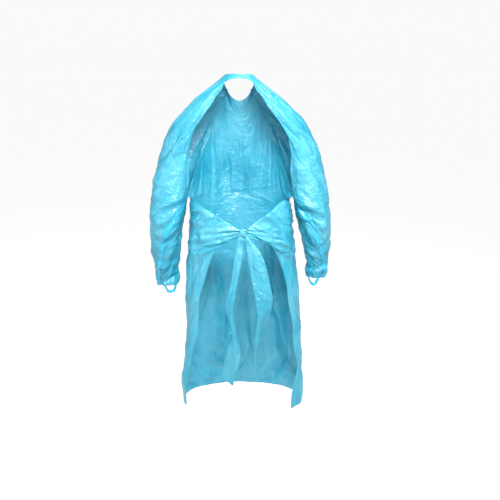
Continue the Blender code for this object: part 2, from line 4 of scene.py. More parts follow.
import bmesh
import bpy
import numpy as np
from mathutils import Matrix, Vector
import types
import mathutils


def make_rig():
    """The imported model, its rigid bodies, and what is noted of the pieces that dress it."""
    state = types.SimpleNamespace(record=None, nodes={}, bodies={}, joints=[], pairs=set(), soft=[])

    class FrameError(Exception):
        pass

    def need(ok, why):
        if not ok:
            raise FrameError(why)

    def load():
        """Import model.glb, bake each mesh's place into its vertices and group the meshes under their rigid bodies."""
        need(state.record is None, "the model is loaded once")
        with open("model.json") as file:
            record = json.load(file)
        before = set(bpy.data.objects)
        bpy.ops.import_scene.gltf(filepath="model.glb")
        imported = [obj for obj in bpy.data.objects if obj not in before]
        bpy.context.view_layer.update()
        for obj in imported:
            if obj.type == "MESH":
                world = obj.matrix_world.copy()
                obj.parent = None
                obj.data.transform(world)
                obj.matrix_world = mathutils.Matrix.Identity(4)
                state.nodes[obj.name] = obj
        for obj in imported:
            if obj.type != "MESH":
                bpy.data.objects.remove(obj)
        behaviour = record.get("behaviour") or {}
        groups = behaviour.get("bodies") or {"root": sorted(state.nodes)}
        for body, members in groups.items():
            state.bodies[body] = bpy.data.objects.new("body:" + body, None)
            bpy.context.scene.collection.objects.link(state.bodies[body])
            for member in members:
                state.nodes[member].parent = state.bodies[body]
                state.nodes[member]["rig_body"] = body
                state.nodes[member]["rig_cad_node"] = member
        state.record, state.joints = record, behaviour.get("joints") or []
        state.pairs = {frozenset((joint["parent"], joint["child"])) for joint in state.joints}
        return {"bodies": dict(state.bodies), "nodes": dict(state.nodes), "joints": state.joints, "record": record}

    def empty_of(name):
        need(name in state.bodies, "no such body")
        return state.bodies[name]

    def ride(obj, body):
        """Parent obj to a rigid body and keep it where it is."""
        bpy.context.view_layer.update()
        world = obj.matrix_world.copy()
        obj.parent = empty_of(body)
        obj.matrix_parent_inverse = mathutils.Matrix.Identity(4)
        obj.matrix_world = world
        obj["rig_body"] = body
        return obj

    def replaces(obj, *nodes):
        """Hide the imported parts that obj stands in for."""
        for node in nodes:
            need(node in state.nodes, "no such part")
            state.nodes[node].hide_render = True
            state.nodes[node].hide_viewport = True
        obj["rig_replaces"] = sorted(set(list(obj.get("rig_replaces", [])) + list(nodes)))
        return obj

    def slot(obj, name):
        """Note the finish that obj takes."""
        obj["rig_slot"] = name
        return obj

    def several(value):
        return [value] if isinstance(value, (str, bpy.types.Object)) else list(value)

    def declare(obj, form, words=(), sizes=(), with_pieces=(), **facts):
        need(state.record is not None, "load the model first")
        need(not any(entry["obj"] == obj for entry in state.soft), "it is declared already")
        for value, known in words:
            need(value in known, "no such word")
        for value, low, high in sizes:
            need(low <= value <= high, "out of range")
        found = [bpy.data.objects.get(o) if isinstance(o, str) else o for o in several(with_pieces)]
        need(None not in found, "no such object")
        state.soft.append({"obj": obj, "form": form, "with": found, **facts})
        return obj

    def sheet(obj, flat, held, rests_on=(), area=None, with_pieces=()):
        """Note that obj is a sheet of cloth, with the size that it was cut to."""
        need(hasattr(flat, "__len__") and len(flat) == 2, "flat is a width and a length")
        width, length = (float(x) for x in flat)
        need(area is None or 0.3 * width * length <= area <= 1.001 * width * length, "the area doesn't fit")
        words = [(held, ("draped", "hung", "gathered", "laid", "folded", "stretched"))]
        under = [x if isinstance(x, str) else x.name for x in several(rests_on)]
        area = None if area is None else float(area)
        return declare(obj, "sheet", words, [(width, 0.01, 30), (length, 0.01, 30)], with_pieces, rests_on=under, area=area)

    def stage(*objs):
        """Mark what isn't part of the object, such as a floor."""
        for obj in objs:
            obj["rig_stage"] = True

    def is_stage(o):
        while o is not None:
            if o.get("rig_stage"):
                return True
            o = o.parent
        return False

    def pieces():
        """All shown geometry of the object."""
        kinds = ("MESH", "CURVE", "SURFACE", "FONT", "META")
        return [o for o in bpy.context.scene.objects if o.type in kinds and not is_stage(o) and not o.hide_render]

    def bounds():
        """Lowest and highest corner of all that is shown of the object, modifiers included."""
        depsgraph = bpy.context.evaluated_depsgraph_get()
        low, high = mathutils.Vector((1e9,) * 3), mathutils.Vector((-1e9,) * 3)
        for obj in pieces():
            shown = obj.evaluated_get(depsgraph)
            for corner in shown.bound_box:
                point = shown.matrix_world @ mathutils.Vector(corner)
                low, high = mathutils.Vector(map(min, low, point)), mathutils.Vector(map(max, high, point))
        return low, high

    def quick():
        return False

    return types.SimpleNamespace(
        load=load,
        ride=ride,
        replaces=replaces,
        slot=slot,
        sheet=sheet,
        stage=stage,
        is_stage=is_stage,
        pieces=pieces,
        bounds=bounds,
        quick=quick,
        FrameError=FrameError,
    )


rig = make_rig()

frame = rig.load()
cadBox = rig.bounds()
scene = bpy.context.scene
print("frame loaded:", len(frame["nodes"]), "nodes")


def addObject(name, data):
    made = bpy.data.objects.new(name, data)
    scene.collection.objects.link(made)
    return made


def seenAs(piece, node, slot):  # trim stands for no solid, so its node is None
    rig.ride(piece, "root")
    if node:
        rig.replaces(piece, node)
    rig.slot(piece, slot)


def nodeTools(tree):  # one function adds a node, the other joins two sockets
    def add(kind, at, constants=(), **settings):
        node = tree.nodes.new(kind)
        node.location = at
        for key, value in settings.items():
            setattr(node, key, value)
        for key, value in dict(constants).items():
            node.inputs[key].default_value = value
        return node

    def link(source, output, target, socket):
        tree.links.new(source.outputs[output], target.inputs[socket])

    return add, link


gownForm = {  # the same form as the solids, in metres
    "neckHalfWidth": 0.058,
    "neckBackY": 0.080,
    "neckFrontY": -0.092,
    "neckBackZ": 0.024,
    "neckDrop": 0.100,
    "neckLean": 0.0125,  # the gown's middle stands this far towards +X
    "hemLean": 0.003,
    "leanReach": 0.9,
    "bandTurn": 36,  # degrees round the neck from the nape to the band's end
    "raglanTurn": 128,  # and to the front seam
}


def leanAt(z):
    fall = np.clip(1 + (z - gownForm["neckBackZ"]) / gownForm["leanReach"], 0, 1)
    return gownForm["hemLean"] + (gownForm["neckLean"] - gownForm["hemLean"]) * fall


def necklinePoint(turn, side):
    angle = radians(turn)
    fall = ((1 - cos(angle)) / 2) ** 2.5
    middleY = (gownForm["neckBackY"] + gownForm["neckFrontY"]) / 2
    reachY = (gownForm["neckBackY"] - gownForm["neckFrontY"]) / 2
    return np.array([
        gownForm["neckLean"] + side * gownForm["neckHalfWidth"] * sin(angle),
        middleY + reachY * cos(angle),
        gownForm["neckBackZ"] - gownForm["neckDrop"] * fall,
    ])


def throughRows(rows, at):  # a smooth curve through rows of numbers, at fractional row numbers
    rows = np.asarray(rows, float)
    at = np.atleast_1d(np.asarray(at, float))
    last = len(rows) - 1
    low = np.clip(at.astype(int), 0, last - 1)
    share = (at - low).reshape(-1, *[1] * (rows.ndim - 1))

    def slope(k):
        before, after = np.maximum(k - 1, 0), np.minimum(k + 1, last)
        return (rows[after] - rows[before]) / (after - before).reshape(share.shape)

    return (
        rows[low] * (2 * share**3 - 3 * share**2 + 1)
        + slope(low) * (share**3 - 2 * share**2 + share)
        + rows[low + 1] * (3 * share**2 - 2 * share**3)
        + slope(low + 1) * (share**3 - share**2)
    )


def evenPlaces(grid, count, first=0, last=None, crowd=None):  # row numbers at even distances
    steps = np.linalg.norm(np.diff(grid[first:last, :, :3], axis=0), axis=2).mean(axis=1)
    if crowd is not None:
        steps = steps * crowd[first : first + len(steps)]
    along = np.concatenate([[0], np.cumsum(steps)])
    return first + np.interp(np.linspace(0, along[-1], count), along, np.arange(len(along)))


def refine(grid, rowsAt, columnCount):
    tall = np.swapaxes(throughRows(grid, rowsAt), 0, 1)
    return np.swapaxes(throughRows(tall, evenPlaces(tall, columnCount)), 0, 1)


def gridNormals(grid, joinedFrom=None):
    down, across = np.gradient(grid, axis=0), np.gradient(grid, axis=1)
    if joinedFrom is not None:
        across[joinedFrom:, 0] = grid[joinedFrom:, 1] - grid[joinedFrom:, -2]
        across[joinedFrom:, -1] = across[joinedFrom:, 0]
    normal = np.cross(across, down)
    return normal / np.maximum(np.linalg.norm(normal, axis=2, keepdims=True), 1e-9)


def cutOf(grid):  # where each point lies on the flat film: metres across and down
    across = np.linalg.norm(np.diff(grid, axis=1), axis=2)
    across = np.concatenate([np.zeros((len(grid), 1)), np.cumsum(across, axis=1)], axis=1)
    middle = grid.shape[1] // 2
    down = np.linalg.norm(np.diff(grid, axis=0), axis=2).mean(axis=1)
    down = np.concatenate([[0], np.cumsum(down)])
    cut = np.empty(grid.shape[:2] + (2,))
    cut[..., 0] = across - across[:, middle : middle + 1]
    cut[..., 1] = -down[:, None]
    return cut


def flatSize(cut):  # widest and longest of the flat cut, and its area
    widths = cut[:, -1, 0] - cut[:, 0, 0]
    area = float(np.sum((widths[1:] + widths[:-1]) / 2 * -np.diff(cut[:, 0, 1])))
    return {"flat": (float(widths.max()), float(cut[0, 0, 1] - cut[-1, 0, 1])), "area": area}


def toSides(cut):  # distance to the nearer side of the flat film
    return np.minimum(cut[..., 0] - cut[:, :1, 0], cut[:, -1:, 0] - cut[..., 0])


def unit(rows):
    return rows / np.linalg.norm(rows, axis=1, keepdims=True)


def smoothStep(low, high, value):
    share = np.clip((value - low) / (high - low), 0, 1)
    return share * share * (3 - 2 * share)


def foldsAt(creases, z, turn, radius):  # the main folds: soft troughs and ridges, listed one by one
    depth = np.zeros_like(z)
    for creaseZ, creaseTurn, lie, halfLength, halfWidth, creaseDepth in creases:
        lie = radians(lie)
        down = z - creaseZ
        around = np.radians((turn - creaseTurn + 180) % 360 - 180) * radius
        run = down * cos(lie) + around * sin(lie)
        off = around * cos(lie) - down * sin(lie)
        depth += creaseDepth * np.exp(-((run / halfLength) ** 2) - (off / halfWidth) ** 2)
    return depth


def crinklesAt(cut, settings, seedShift=0):  # small sharp creases scattered over the flat film
    chance = np.random.RandomState(settings["seed"] + seedShift)
    low, high = cut.reshape(-1, 2).min(axis=0), cut.reshape(-1, 2).max(axis=0)
    if "within" in settings:  # lowest and highest place, across and down
        low, high = (np.clip(corner, low, high) for corner in np.array(settings["within"]))
    depth = np.zeros(cut.shape[:2])
    for _ in range(settings["count"]):
        centre = low + (high - low) * chance.rand(2)
        lie = radians(settings["lie"] + settings["spread"] * chance.randn())
        length = settings["length"] * (0.5 + chance.rand())
        width = settings["width"] * (0.6 + 0.9 * chance.rand())
        tall = settings["depth"] * (0.4 + 0.9 * chance.rand()) * chance.choice([-1, 1])
        bend = chance.randn() * 2.0
        du, dv = cut[..., 0] - centre[0], cut[..., 1] - centre[1]
        run = du * cos(lie) + dv * sin(lie)
        off = dv * cos(lie) - du * sin(lie) + bend * run**2
        fade = np.clip(1 - (run / length) ** 2, 0, 1) ** 2
        depth += tall * fade * np.exp(-np.sqrt(off**2 + (0.25 * width) ** 2) / width)
    return depth


foldLine = {"wide": 0.0045, "wander": 0.004, "waves": 9}


def foldLinesAt(cut, lines):  # flat lines left by packing: axis (0 across, 1 down), place, depth
    depth = np.zeros(cut.shape[:2])
    for axis, place, tall in lines:
        wander = foldLine["wander"] * np.sin(cut[..., 1 - axis] * foldLine["waves"] + place * 40)
        depth += tall * np.exp(-np.abs(cut[..., axis] - place - wander) / foldLine["wide"])
    return depth


crumple = {
    "frames": 18,
    "gravity": 0.3,
    "mostShift": 0.014,
    "cloth": {
        "quality": 4,
        "mass": 0.02,
        "tension_stiffness": 10,
        "compression_stiffness": 10,
        "shear_stiffness": 5,
        "bending_stiffness": 0.008,
        "vertex_group_mass": "hold",
        "vertex_group_shrink": "growth",
        "shrink_min": 0,
        "shrink_max": -0.10,  # below 0 is growth
        "air_damping": 2,
    },
}


def faceCorners(grid, joinedFrom=None):  # numbers of the four points of every face of a grid
    number = np.arange(grid.shape[0] * grid.shape[1]).reshape(grid.shape[:2])
    if joinedFrom is not None:
        number[joinedFrom:, -1] = number[joinedFrom:, 0]
    quads = np.stack([number[:-1, :-1], number[:-1, 1:], number[1:, 1:], number[1:, :-1]], axis=-1)
    return quads.reshape(-1, 4)


def gridFaces(grid, joinedFrom):  # vertices that are used, and the faces between them
    used, quads = np.unique(faceCorners(grid, joinedFrom), return_inverse=True)
    return used, quads.reshape(-1, 4)


def crumpleFilm(sheets):  # the film grows a little between soft pins, so that it buckles
    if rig.quick():
        return
    for sheet in sheets:
        points = sheet["grid"].reshape(-1, 3)
        used, quads = gridFaces(sheet["grid"], sheet["joined"])
        mesh = bpy.data.meshes.new("crumpling")
        mesh.from_pydata(points[used].tolist(), [], quads.tolist())
        cloth = addObject("crumpling", mesh)
        for name in ("hold", "growth"):
            group = cloth.vertex_groups.new(name=name)
            for vertex, weight in enumerate(sheet[name].reshape(-1)[used]):
                group.add([vertex], weight, "REPLACE")
        cloth.shape_key_add(name="shown")
        cloth.shape_key_add(name="spare").data.foreach_set("co", (points[used] * sheet["spare"]).ravel())
        solver = cloth.modifiers.new("cloth", "CLOTH")
        settings = solver.settings
        for key, value in crumple["cloth"].items():
            setattr(settings, key, value)
        settings.rest_shape_key = mesh.shape_keys.key_blocks["spare"]
        settings.effector_weights.gravity = crumple["gravity"]
        solver.collision_settings.use_collision = False
        solver.point_cache.frame_end = crumple["frames"]
        sheet.update(cloth=cloth, used=used)
    for number in range(1, crumple["frames"] + 1):
        scene.frame_set(number)
    graph = bpy.context.evaluated_depsgraph_get()
    for sheet in sheets:
        shown = np.empty(3 * len(sheet["used"]))
        sheet["cloth"].evaluated_get(graph).data.vertices.foreach_get("co", shown)
        points = sheet["grid"].reshape(-1, 3)
        shift = shown.reshape(-1, 3) - points[sheet["used"]]
        reach = np.linalg.norm(shift, axis=1, keepdims=True)
        points[sheet["used"]] += shift * np.minimum(1, crumple["mostShift"] / np.maximum(reach, 1e-9))
        sheet["grid"] = points.reshape(sheet["grid"].shape)
        if sheet["joined"] is not None:
            sheet["grid"][sheet["joined"]:, -1] = sheet["grid"][sheet["joined"]:, 0]
    for sheet in sheets:
        bpy.data.objects.remove(sheet.pop("cloth"))
    scene.frame_set(1)


def finer(sheet, form):  # the crumpled grid and its cut, with more points
    last, seamLast = len(sheet["grid"]) - 1, sleeve["seamRows"] - 1
    rowsAt = np.concatenate([np.linspace(0, seamLast, sleeve["fineSeamRows"]),
                             np.linspace(seamLast, last, form["fineRows"] + 1)[1:]])
    fine = refine(np.concatenate([sheet["grid"], sheet["cut"]], axis=2), rowsAt, form["fineAcross"])
    return fine[..., :3].copy(), fine[..., 3:]


flatSpan = 1.6  # metres of the flat cut over the UV square
filmThick = 0.0004
calmEdge = {"start": 0.03, "fine": 0.012}  # creases fade out this near to the film's sides


def roundOut(mesh, joinWithin=None):  # faces all turned outward
    bm = bmesh.new()
    bm.from_mesh(mesh)
    if joinWithin:
        bmesh.ops.remove_doubles(bm, verts=bm.verts, dist=joinWithin)
    bmesh.ops.recalc_face_normals(bm, faces=bm.faces)
    bm.to_mesh(mesh)
    bm.free()


def filmObject(name, grid, cut, material, joinedFrom=None, thickness=filmThick):
    mesh = bpy.data.meshes.new(name)
    used, quads = gridFaces(grid, joinedFrom)
    mesh.from_pydata(grid.reshape(-1, 3)[used].tolist(), [], quads.tolist())
    flat = cut.reshape(-1, 2)[faceCorners(cut).ravel()] / flatSpan + 0.5
    mesh.uv_layers.new(name="cut").data.foreach_set("uv", flat.ravel())
    mesh.materials.append(material)
    piece = addObject(name, mesh)
    roundOut(mesh)
    mesh.shade_smooth()
    if thickness:
        wall = piece.modifiers.new("film", "SOLIDIFY")
        wall.thickness = thickness
        wall.offset = 0
    return piece


filmLook = {
    "pale": (0.075, 0.375, 0.49),
    "mid": (0.020, 0.310, 0.425),
    "deep": (0.001, 0.220, 0.34),
    "lit": (0.02, 0.45, 0.65),  # light that comes through
    "through": 0.16,
    "sheen": 0.06,
    "clear": 0.12,
}
weldLook = {
    "pale": (0.004, 0.40, 0.61),
    "mid": (0.003, 0.36, 0.57),
    "deep": (0.002, 0.31, 0.50),
    "lit": (0.02, 0.42, 0.65),
    "through": 0.18,
    "sheen": 0.06,
    "clear": 0.04,
}


def makeFilm(name, look, seed):
    material = bpy.data.materials.new(name)
    material.use_nodes = True
    material.diffuse_color = (*look["mid"], 1)
    material.node_tree.nodes.clear()
    add, link = nodeTools(material.node_tree)

    uv = add("ShaderNodeUVMap", (-1500, 0), uv_map="cut")
    place = add("ShaderNodeMapping", (-1320, 0), {
        "Location": (seed * 1.7, seed * 0.9, seed), "Scale": [flatSpan] * 3})  # back to metres
    link(uv, "UV", place, "Vector")
    cloud = add("ShaderNodeTexNoise", (-1100, 300), {"Scale": 7, "Detail": 5, "Roughness": 0.6})
    ridge = add("ShaderNodeTexNoise", (-1100, -50), {"Scale": 16, "Detail": 3, "Distortion": 0.6},
                noise_type="RIDGED_MULTIFRACTAL", normalize=False)
    warp = add("ShaderNodeTexNoise", (-1500, -350), {"Scale": 30})
    grain = add("ShaderNodeTexNoise", (-1100, -650), {"Scale": 420, "Detail": 2})
    for texture in (cloud, ridge, warp, grain):
        link(place, "Vector", texture, "Vector")
    shift = add("ShaderNodeVectorMath", (-1300, -350), {1: (0.02, 0.02, 0.02)}, operation="MULTIPLY_ADD")
    link(warp, "Color", shift, 0)
    link(place, "Vector", shift, 2)
    facets = add("ShaderNodeTexVoronoi", (-1100, -350), {"Scale": 55}, feature="DISTANCE_TO_EDGE")
    link(shift, "Vector", facets, "Vector")

    bumps = []
    for texture, height, strength, distance in (
            (ridge, "Fac", 0.7, 0.0045), (facets, "Distance", 0.38, 0.009), (grain, "Fac", 0.10, 0.0004)):
        at = (-700 + 200 * len(bumps), -50 - 150 * len(bumps))
        bumps.append(add("ShaderNodeBump", at, {"Strength": strength, "Distance": distance}))
        link(texture, height, bumps[-1], "Height")
    link(bumps[0], "Normal", bumps[1], "Normal")
    link(bumps[1], "Normal", bumps[2], "Normal")

    tone = add("ShaderNodeValToRGB", (-900, 300))
    stops = tone.color_ramp.elements
    stops[0].position, stops[0].color = 0.30, (*look["deep"], 1)
    stops[1].position, stops[1].color = 0.72, (*look["pale"], 1)
    stops.new(0.47).color = (*look["mid"], 1)
    link(cloud, "Fac", tone, "Fac")
    haze = add("ShaderNodeMapRange", (-700, 150), {"To Min": 0.24, "To Max": 0.42})
    link(cloud, "Fac", haze, "Value")

    body = add("ShaderNodeBsdfPrincipled", (-50, 200), {"IOR": 1.5, "Specular IOR Level": 0.2})
    link(tone, "Color", body, "Base Color")
    link(haze, "Result", body, "Roughness")
    lit = add("ShaderNodeBsdfTranslucent", (-50, -200), {"Color": (*look["lit"], 1)})
    clear = add("ShaderNodeBsdfTransparent", (-50, -350), {"Color": (0.45, 0.85, 1.0, 1)})
    sheen = add("ShaderNodeBsdfAnisotropic", (-50, -480), {"Color": (0.9, 0.97, 1.0, 1), "Roughness": 0.46})
    for shader in (body, lit, sheen):
        link(bumps[2], "Normal", shader, "Normal")
    whole = body
    for shader, share, at in (
            (lit, "through", (200, 100)), (sheen, "sheen", (300, -100)), (clear, "clear", (400, 50))):
        mix = add("ShaderNodeMixShader", at, {"Fac": look[share]})
        link(whole, 0, mix, 1)
        link(shader, 0, mix, 2)
        whole = mix
    link(whole, 0, add("ShaderNodeOutputMaterial", (600, 50)), "Surface")
    return material


blueFilm = makeFilm("blueFilm", filmLook, 0.0)
weldedFilm = makeFilm("weldedFilm", weldLook, 2.3)
print("materials made")

sleeve = {
    # x z of the outermost point, tilt of the section, y, half height and depth to back and front,
    # and how far round the film reaches to back and front
    "shoulder": [
        (0.083, 0.002, 33, 0.010, 0.040, 0.062, 0.078, 0.098, 87, -88),
        (0.119, -0.019, 38, 0.010, 0.052, 0.082, 0.084, 0.112, 91, -90),
        (0.150, -0.041, 42, 0.010, 0.062, 0.096, 0.088, 0.120, 95, -93),
        (0.177, -0.063, 44, 0.009, 0.066, 0.105, 0.089, 0.123, 98, -97),
        (0.204, -0.089, 48, 0.008, 0.068, 0.110, 0.089, 0.124, 100, -102),
        (0.233, -0.121, 53, 0.006, 0.070, 0.112, 0.088, 0.122, 104, -108),
        (0.260, -0.158, 60, 0.004, 0.072, 0.106, 0.086, 0.116, 109, -117),
        (0.284, -0.202, 67, 0.002, 0.074, 0.098, 0.084, 0.108, 116, -127),
        (0.303, -0.253, 72, 0.000, 0.076, 0.088, 0.082, 0.098, 126, -139),
        (0.318, -0.307, 76, 0.000, 0.0745, 0.080, 0.080, 0.089, 141, -151),
        (0.3295, -0.360, 80, 0.004, 0.071, 0.074, 0.078, 0.082, 159, -165),
        (0.337, -0.406, 83, 0.008, 0.070, 0.070, 0.077, 0.077, 180, -180),
    ],
    "arm": [  # a full round from here on, so one half height, one depth and one turn
        (0.342, -0.443, 86, 0.012, 0.0695, 0.074, 152),
        (0.345, -0.482, 88, 0.014, 0.067, 0.071, 126),
        (0.3475, -0.529, 90, 0.012, 0.062, 0.067, 105),
        (0.347, -0.576, 92, 0.004, 0.058, 0.063, 92),
        (0.344, -0.623, 94, -0.008, 0.0535, 0.058, 80),
        (0.3395, -0.669, 96, -0.020, 0.049, 0.052, 67),
        (0.335, -0.710, 97, -0.030, 0.045, 0.047, 54),
        (0.3325, -0.745, 94, -0.037, 0.0455, 0.047, 46),
        (0.3275, -0.774, 92, -0.042, 0.0415, 0.046, 42),
    ],
    "rightNarrower": 0.08,
    "rightCuffRise": 0.030,
    "columns": 23,
    "weldHalf": 0.020,  # half the weld strip, as a share of the girth
    "seamRows": 80,
    "armRows": 84,
    "acrossPoints": 100,
    "fineSeamRows": 104,
    "fineRows": 109,
    "fineAcross": 130,
    "calmNeck": 0.02,  # crinkles fade out this near to the neckline
    # height, turn, lie, half length, half width, depth
    "folds": [
        (-0.425, 120, 70, 0.060, 0.017, -0.010),
        (-0.462, 95, 60, 0.055, 0.017, 0.009),
        (-0.505, 60, -55, 0.050, 0.018, -0.009),
        (-0.548, 110, 50, 0.050, 0.017, -0.008),
        (-0.592, 70, -50, 0.045, 0.017, 0.007),
        (-0.640, 110, 45, 0.040, 0.016, -0.007),
        (-0.690, 60, -60, 0.040, 0.016, -0.006),
        (-0.440, -90, -65, 0.060, 0.018, -0.010),
        (-0.480, -110, -55, 0.060, 0.018, 0.009),
        (-0.520, -70, 60, 0.055, 0.018, -0.009),
        (-0.600, -100, -50, 0.045, 0.017, -0.007),
        (-0.670, -80, 50, 0.040, 0.016, -0.006),
    ],
    "foldTaper": 0.05,
    "rightLower": 0.018,
    "armRadius": 0.060,
    "spare": (1.012, 1.012, 1.035),  # how much more film there is than the form needs
    "growthTop": 0.030,
    "growthElbow": 0.080,
    "elbow": (-0.01, 0.22, 1),  # from the armhole: where the film grows most, over what height, how much
    "wrist": (0.06, 0.08, 0.7),  # and from the cuff
    "calmTop": 0.20,  # share of the starting creases that stays near the neck
    "calmUntil": (0.1, 0.35),  # and where they come in, from the neckline
    "holdFree": 0.06,
    "holdEdge": 0.55,
    "startCreases": {"count": 320, "seed": 31, "lie": 28, "spread": 38, "length": 0.060, "width": 0.0085,
                     "depth": 0.0042},
    "crinkles": {"count": 300, "seed": 11, "lie": 35, "spread": 45, "length": 0.045, "width": 0.0045,
                 "depth": 0.0015},
    "foldLines": [(1, -0.34, 0.0010), (1, -0.62, -0.0009), (0, 0.09, 0.0007)],
    "cuffRuffle": 0.0026,
    "cuffReach": 0.075,
    # waves round the cuff, height, and start: a part that changes with the side, and a fixed one
    "ruffles": [(7, 0.50, 1, 0), (12, 0.35, 0, 2), (19, 0.30, 0, 0)],
    "edgeCurl": 0.006,
    "curlWaves": 70,
    "curlReach": 0.022,
    "curlRows": 12,  # the curl and the calm edge fade over these rows above and below the armhole
}


def sleeveControl(side):  # rows of points and turns from the neckline to the cuff
    inner = np.linspace(sleeve["weldHalf"], 1 - sleeve["weldHalf"], sleeve["columns"] - 2)
    shares = np.array([0, *inner, 1])
    shoulder = np.array(sleeve["shoulder"], float)
    arm = [(*place, drop, drop, deep, deep, turn, turn - 360) for *place, drop, deep, turn in sleeve["arm"]]
    arm = np.array([sleeve["shoulder"][-1], *arm], float)
    arm = throughRows(arm, np.arange(0.5, len(arm) - 0.9, 0.5))
    rows = [[necklinePoint(turn, side) for turn in
             gownForm["raglanTurn"] + (gownForm["bandTurn"] - gownForm["raglanTurn"]) * shares]]
    turns = [-90 + 180 * shares]
    for k, section in enumerate([*shoulder, *arm]):
        x, z, tilt, y, dropBack, dropFront, deepBack, deepFront, turnBack, turnFront = section
        below = max(k - len(shoulder) + 1, 0) / len(arm)
        narrow = 0 if side > 0 else sleeve["rightNarrower"] * min(2 * below, 1)
        rise = 0 if side > 0 else sleeve["rightCuffRise"] * below**2
        tilt = radians(tilt)
        row = []
        for turn in turnFront + (turnBack - turnFront) * shares:
            angle = radians(turn)
            drop, deep = (dropBack, deepBack) if turn > 0 else (dropFront, deepFront)
            out = drop * ((1 - narrow) * cos(angle) - 1)
            pointZ = z + rise + out * cos(tilt)
            row.append((leanAt(pointZ) + side * (x + out * sin(tilt)), y + deep * sin(angle), pointZ))
        rows.append(row)
        turns.append(turnFront + (turnBack - turnFront) * shares)
    rows.insert(1, [(np.array(a) + b) / 2 for a, b in zip(rows[0], rows[1])])
    turns.insert(1, (turns[0] + turns[1]) / 2)
    return np.concatenate([np.array(rows), np.array(turns)[..., None]], axis=2)


armpitRow = len(sleeve["shoulder"]) + 1
seamAt = evenPlaces(sleeveControl(1)[:, :2], sleeve["seamRows"], 0, armpitRow + 1)


def closeArm(grid, joined):  # below the armhole the film's two sides meet
    meet = (grid[joined:, 0] + grid[joined:, -1]) / 2
    grid[joined:, 0], grid[joined:, -1] = meet, meet


def startSleeve(side, name):  # the worn form with its main folds
    control = sleeveControl(side)
    armAt = evenPlaces(control, sleeve["armRows"] + 1, armpitRow)[1:]
    coarse = refine(control, np.concatenate([seamAt, armAt]), sleeve["acrossPoints"])
    joined = sleeve["seamRows"] - 1
    grid, turn = coarse[..., :3].copy(), coarse[..., 3]
    closeArm(grid, joined)
    cut = cutOf(grid)
    normal = gridNormals(grid, joined) * side
    z = grid[..., 2]
    top, bottom = sleeve["shoulder"][-1][1], sleeve["arm"][-1][1]
    fade = np.clip(np.minimum(top - z, z - bottom) / sleeve["foldTaper"], 0, 1)
    lower = sleeve["rightLower"] if side < 0 else 0
    depth = foldsAt(sleeve["folds"], z + lower, turn, sleeve["armRadius"]) * fade

    toCuff = cut[..., 1] - cut[-1, 0, 1]
    ruffle = np.clip(1 - toCuff / sleeve["cuffReach"], 0, 1) ** 1.5
    waves = sum(tall * np.sin(count * np.radians(turn) + sideShift * side + start)
                for count, tall, sideShift, start in sleeve["ruffles"])
    depth += sleeve["cuffRuffle"] * ruffle * waves

    toBack = cut[:, -1:, 0] - cut[..., 0]
    toNeck = cut[0, 0, 1] - cut[..., 1]
    openRow = np.clip((joined - np.arange(len(grid))) / sleeve["curlRows"], 0, 1)[:, None]
    curl = np.clip(1 - toBack / sleeve["curlReach"], 0, 1) ** 2 * openRow * smoothStep(0, 0.05, toNeck)
    wave = 0.75 + 0.25 * np.sin(toNeck * sleeve["curlWaves"] + side)
    depth -= sleeve["edgeCurl"] * curl * wave

    calmTop = sleeve["calmTop"]
    calm = smoothStep(0, calmEdge["start"], toSides(cut))
    calm *= calmTop + (1 - calmTop) * smoothStep(*sleeve["calmUntil"], toNeck)
    closedRow = smoothStep(0, sleeve["curlRows"], np.arange(len(grid) - joined))[:, None]
    calm[joined:] = np.maximum(calm[joined:], closedRow)
    depth += crinklesAt(cut, sleeve["startCreases"], int(side < 0)) * calm
    grid += normal * depth[..., None]
    closeArm(grid, joined)

    hold = np.full(z.shape, sleeve["holdFree"])
    hold[: joined + 1, -1] = sleeve["holdEdge"]
    hold[-1] = sleeve["holdEdge"]
    hold[: joined + 1, 0] = 1
    hold[0] = 1
    bent = sum(share * np.exp(-(((z - start - up) / high) ** 2))
               for start, (up, high, share) in ((top, sleeve["elbow"]), (bottom, sleeve["wrist"])))
    growth = sleeve["growthTop"] + (sleeve["growthElbow"] - sleeve["growthTop"]) * np.clip(bent, 0, 1)
    growth *= 0.3 + 0.7 * smoothStep(0.03, 0.20, toNeck)
    return {"name": name, "side": side, "control": control, "joined": joined, "grid": grid, "cut": cut,
            "hold": hold, "growth": growth / -crumple["cloth"]["shrink_max"], "spare": sleeve["spare"]}


leftSleeve, rightSleeve = startSleeve(1, "sleeve_left"), startSleeve(-1, "sleeve_right")
print("sleeves formed")

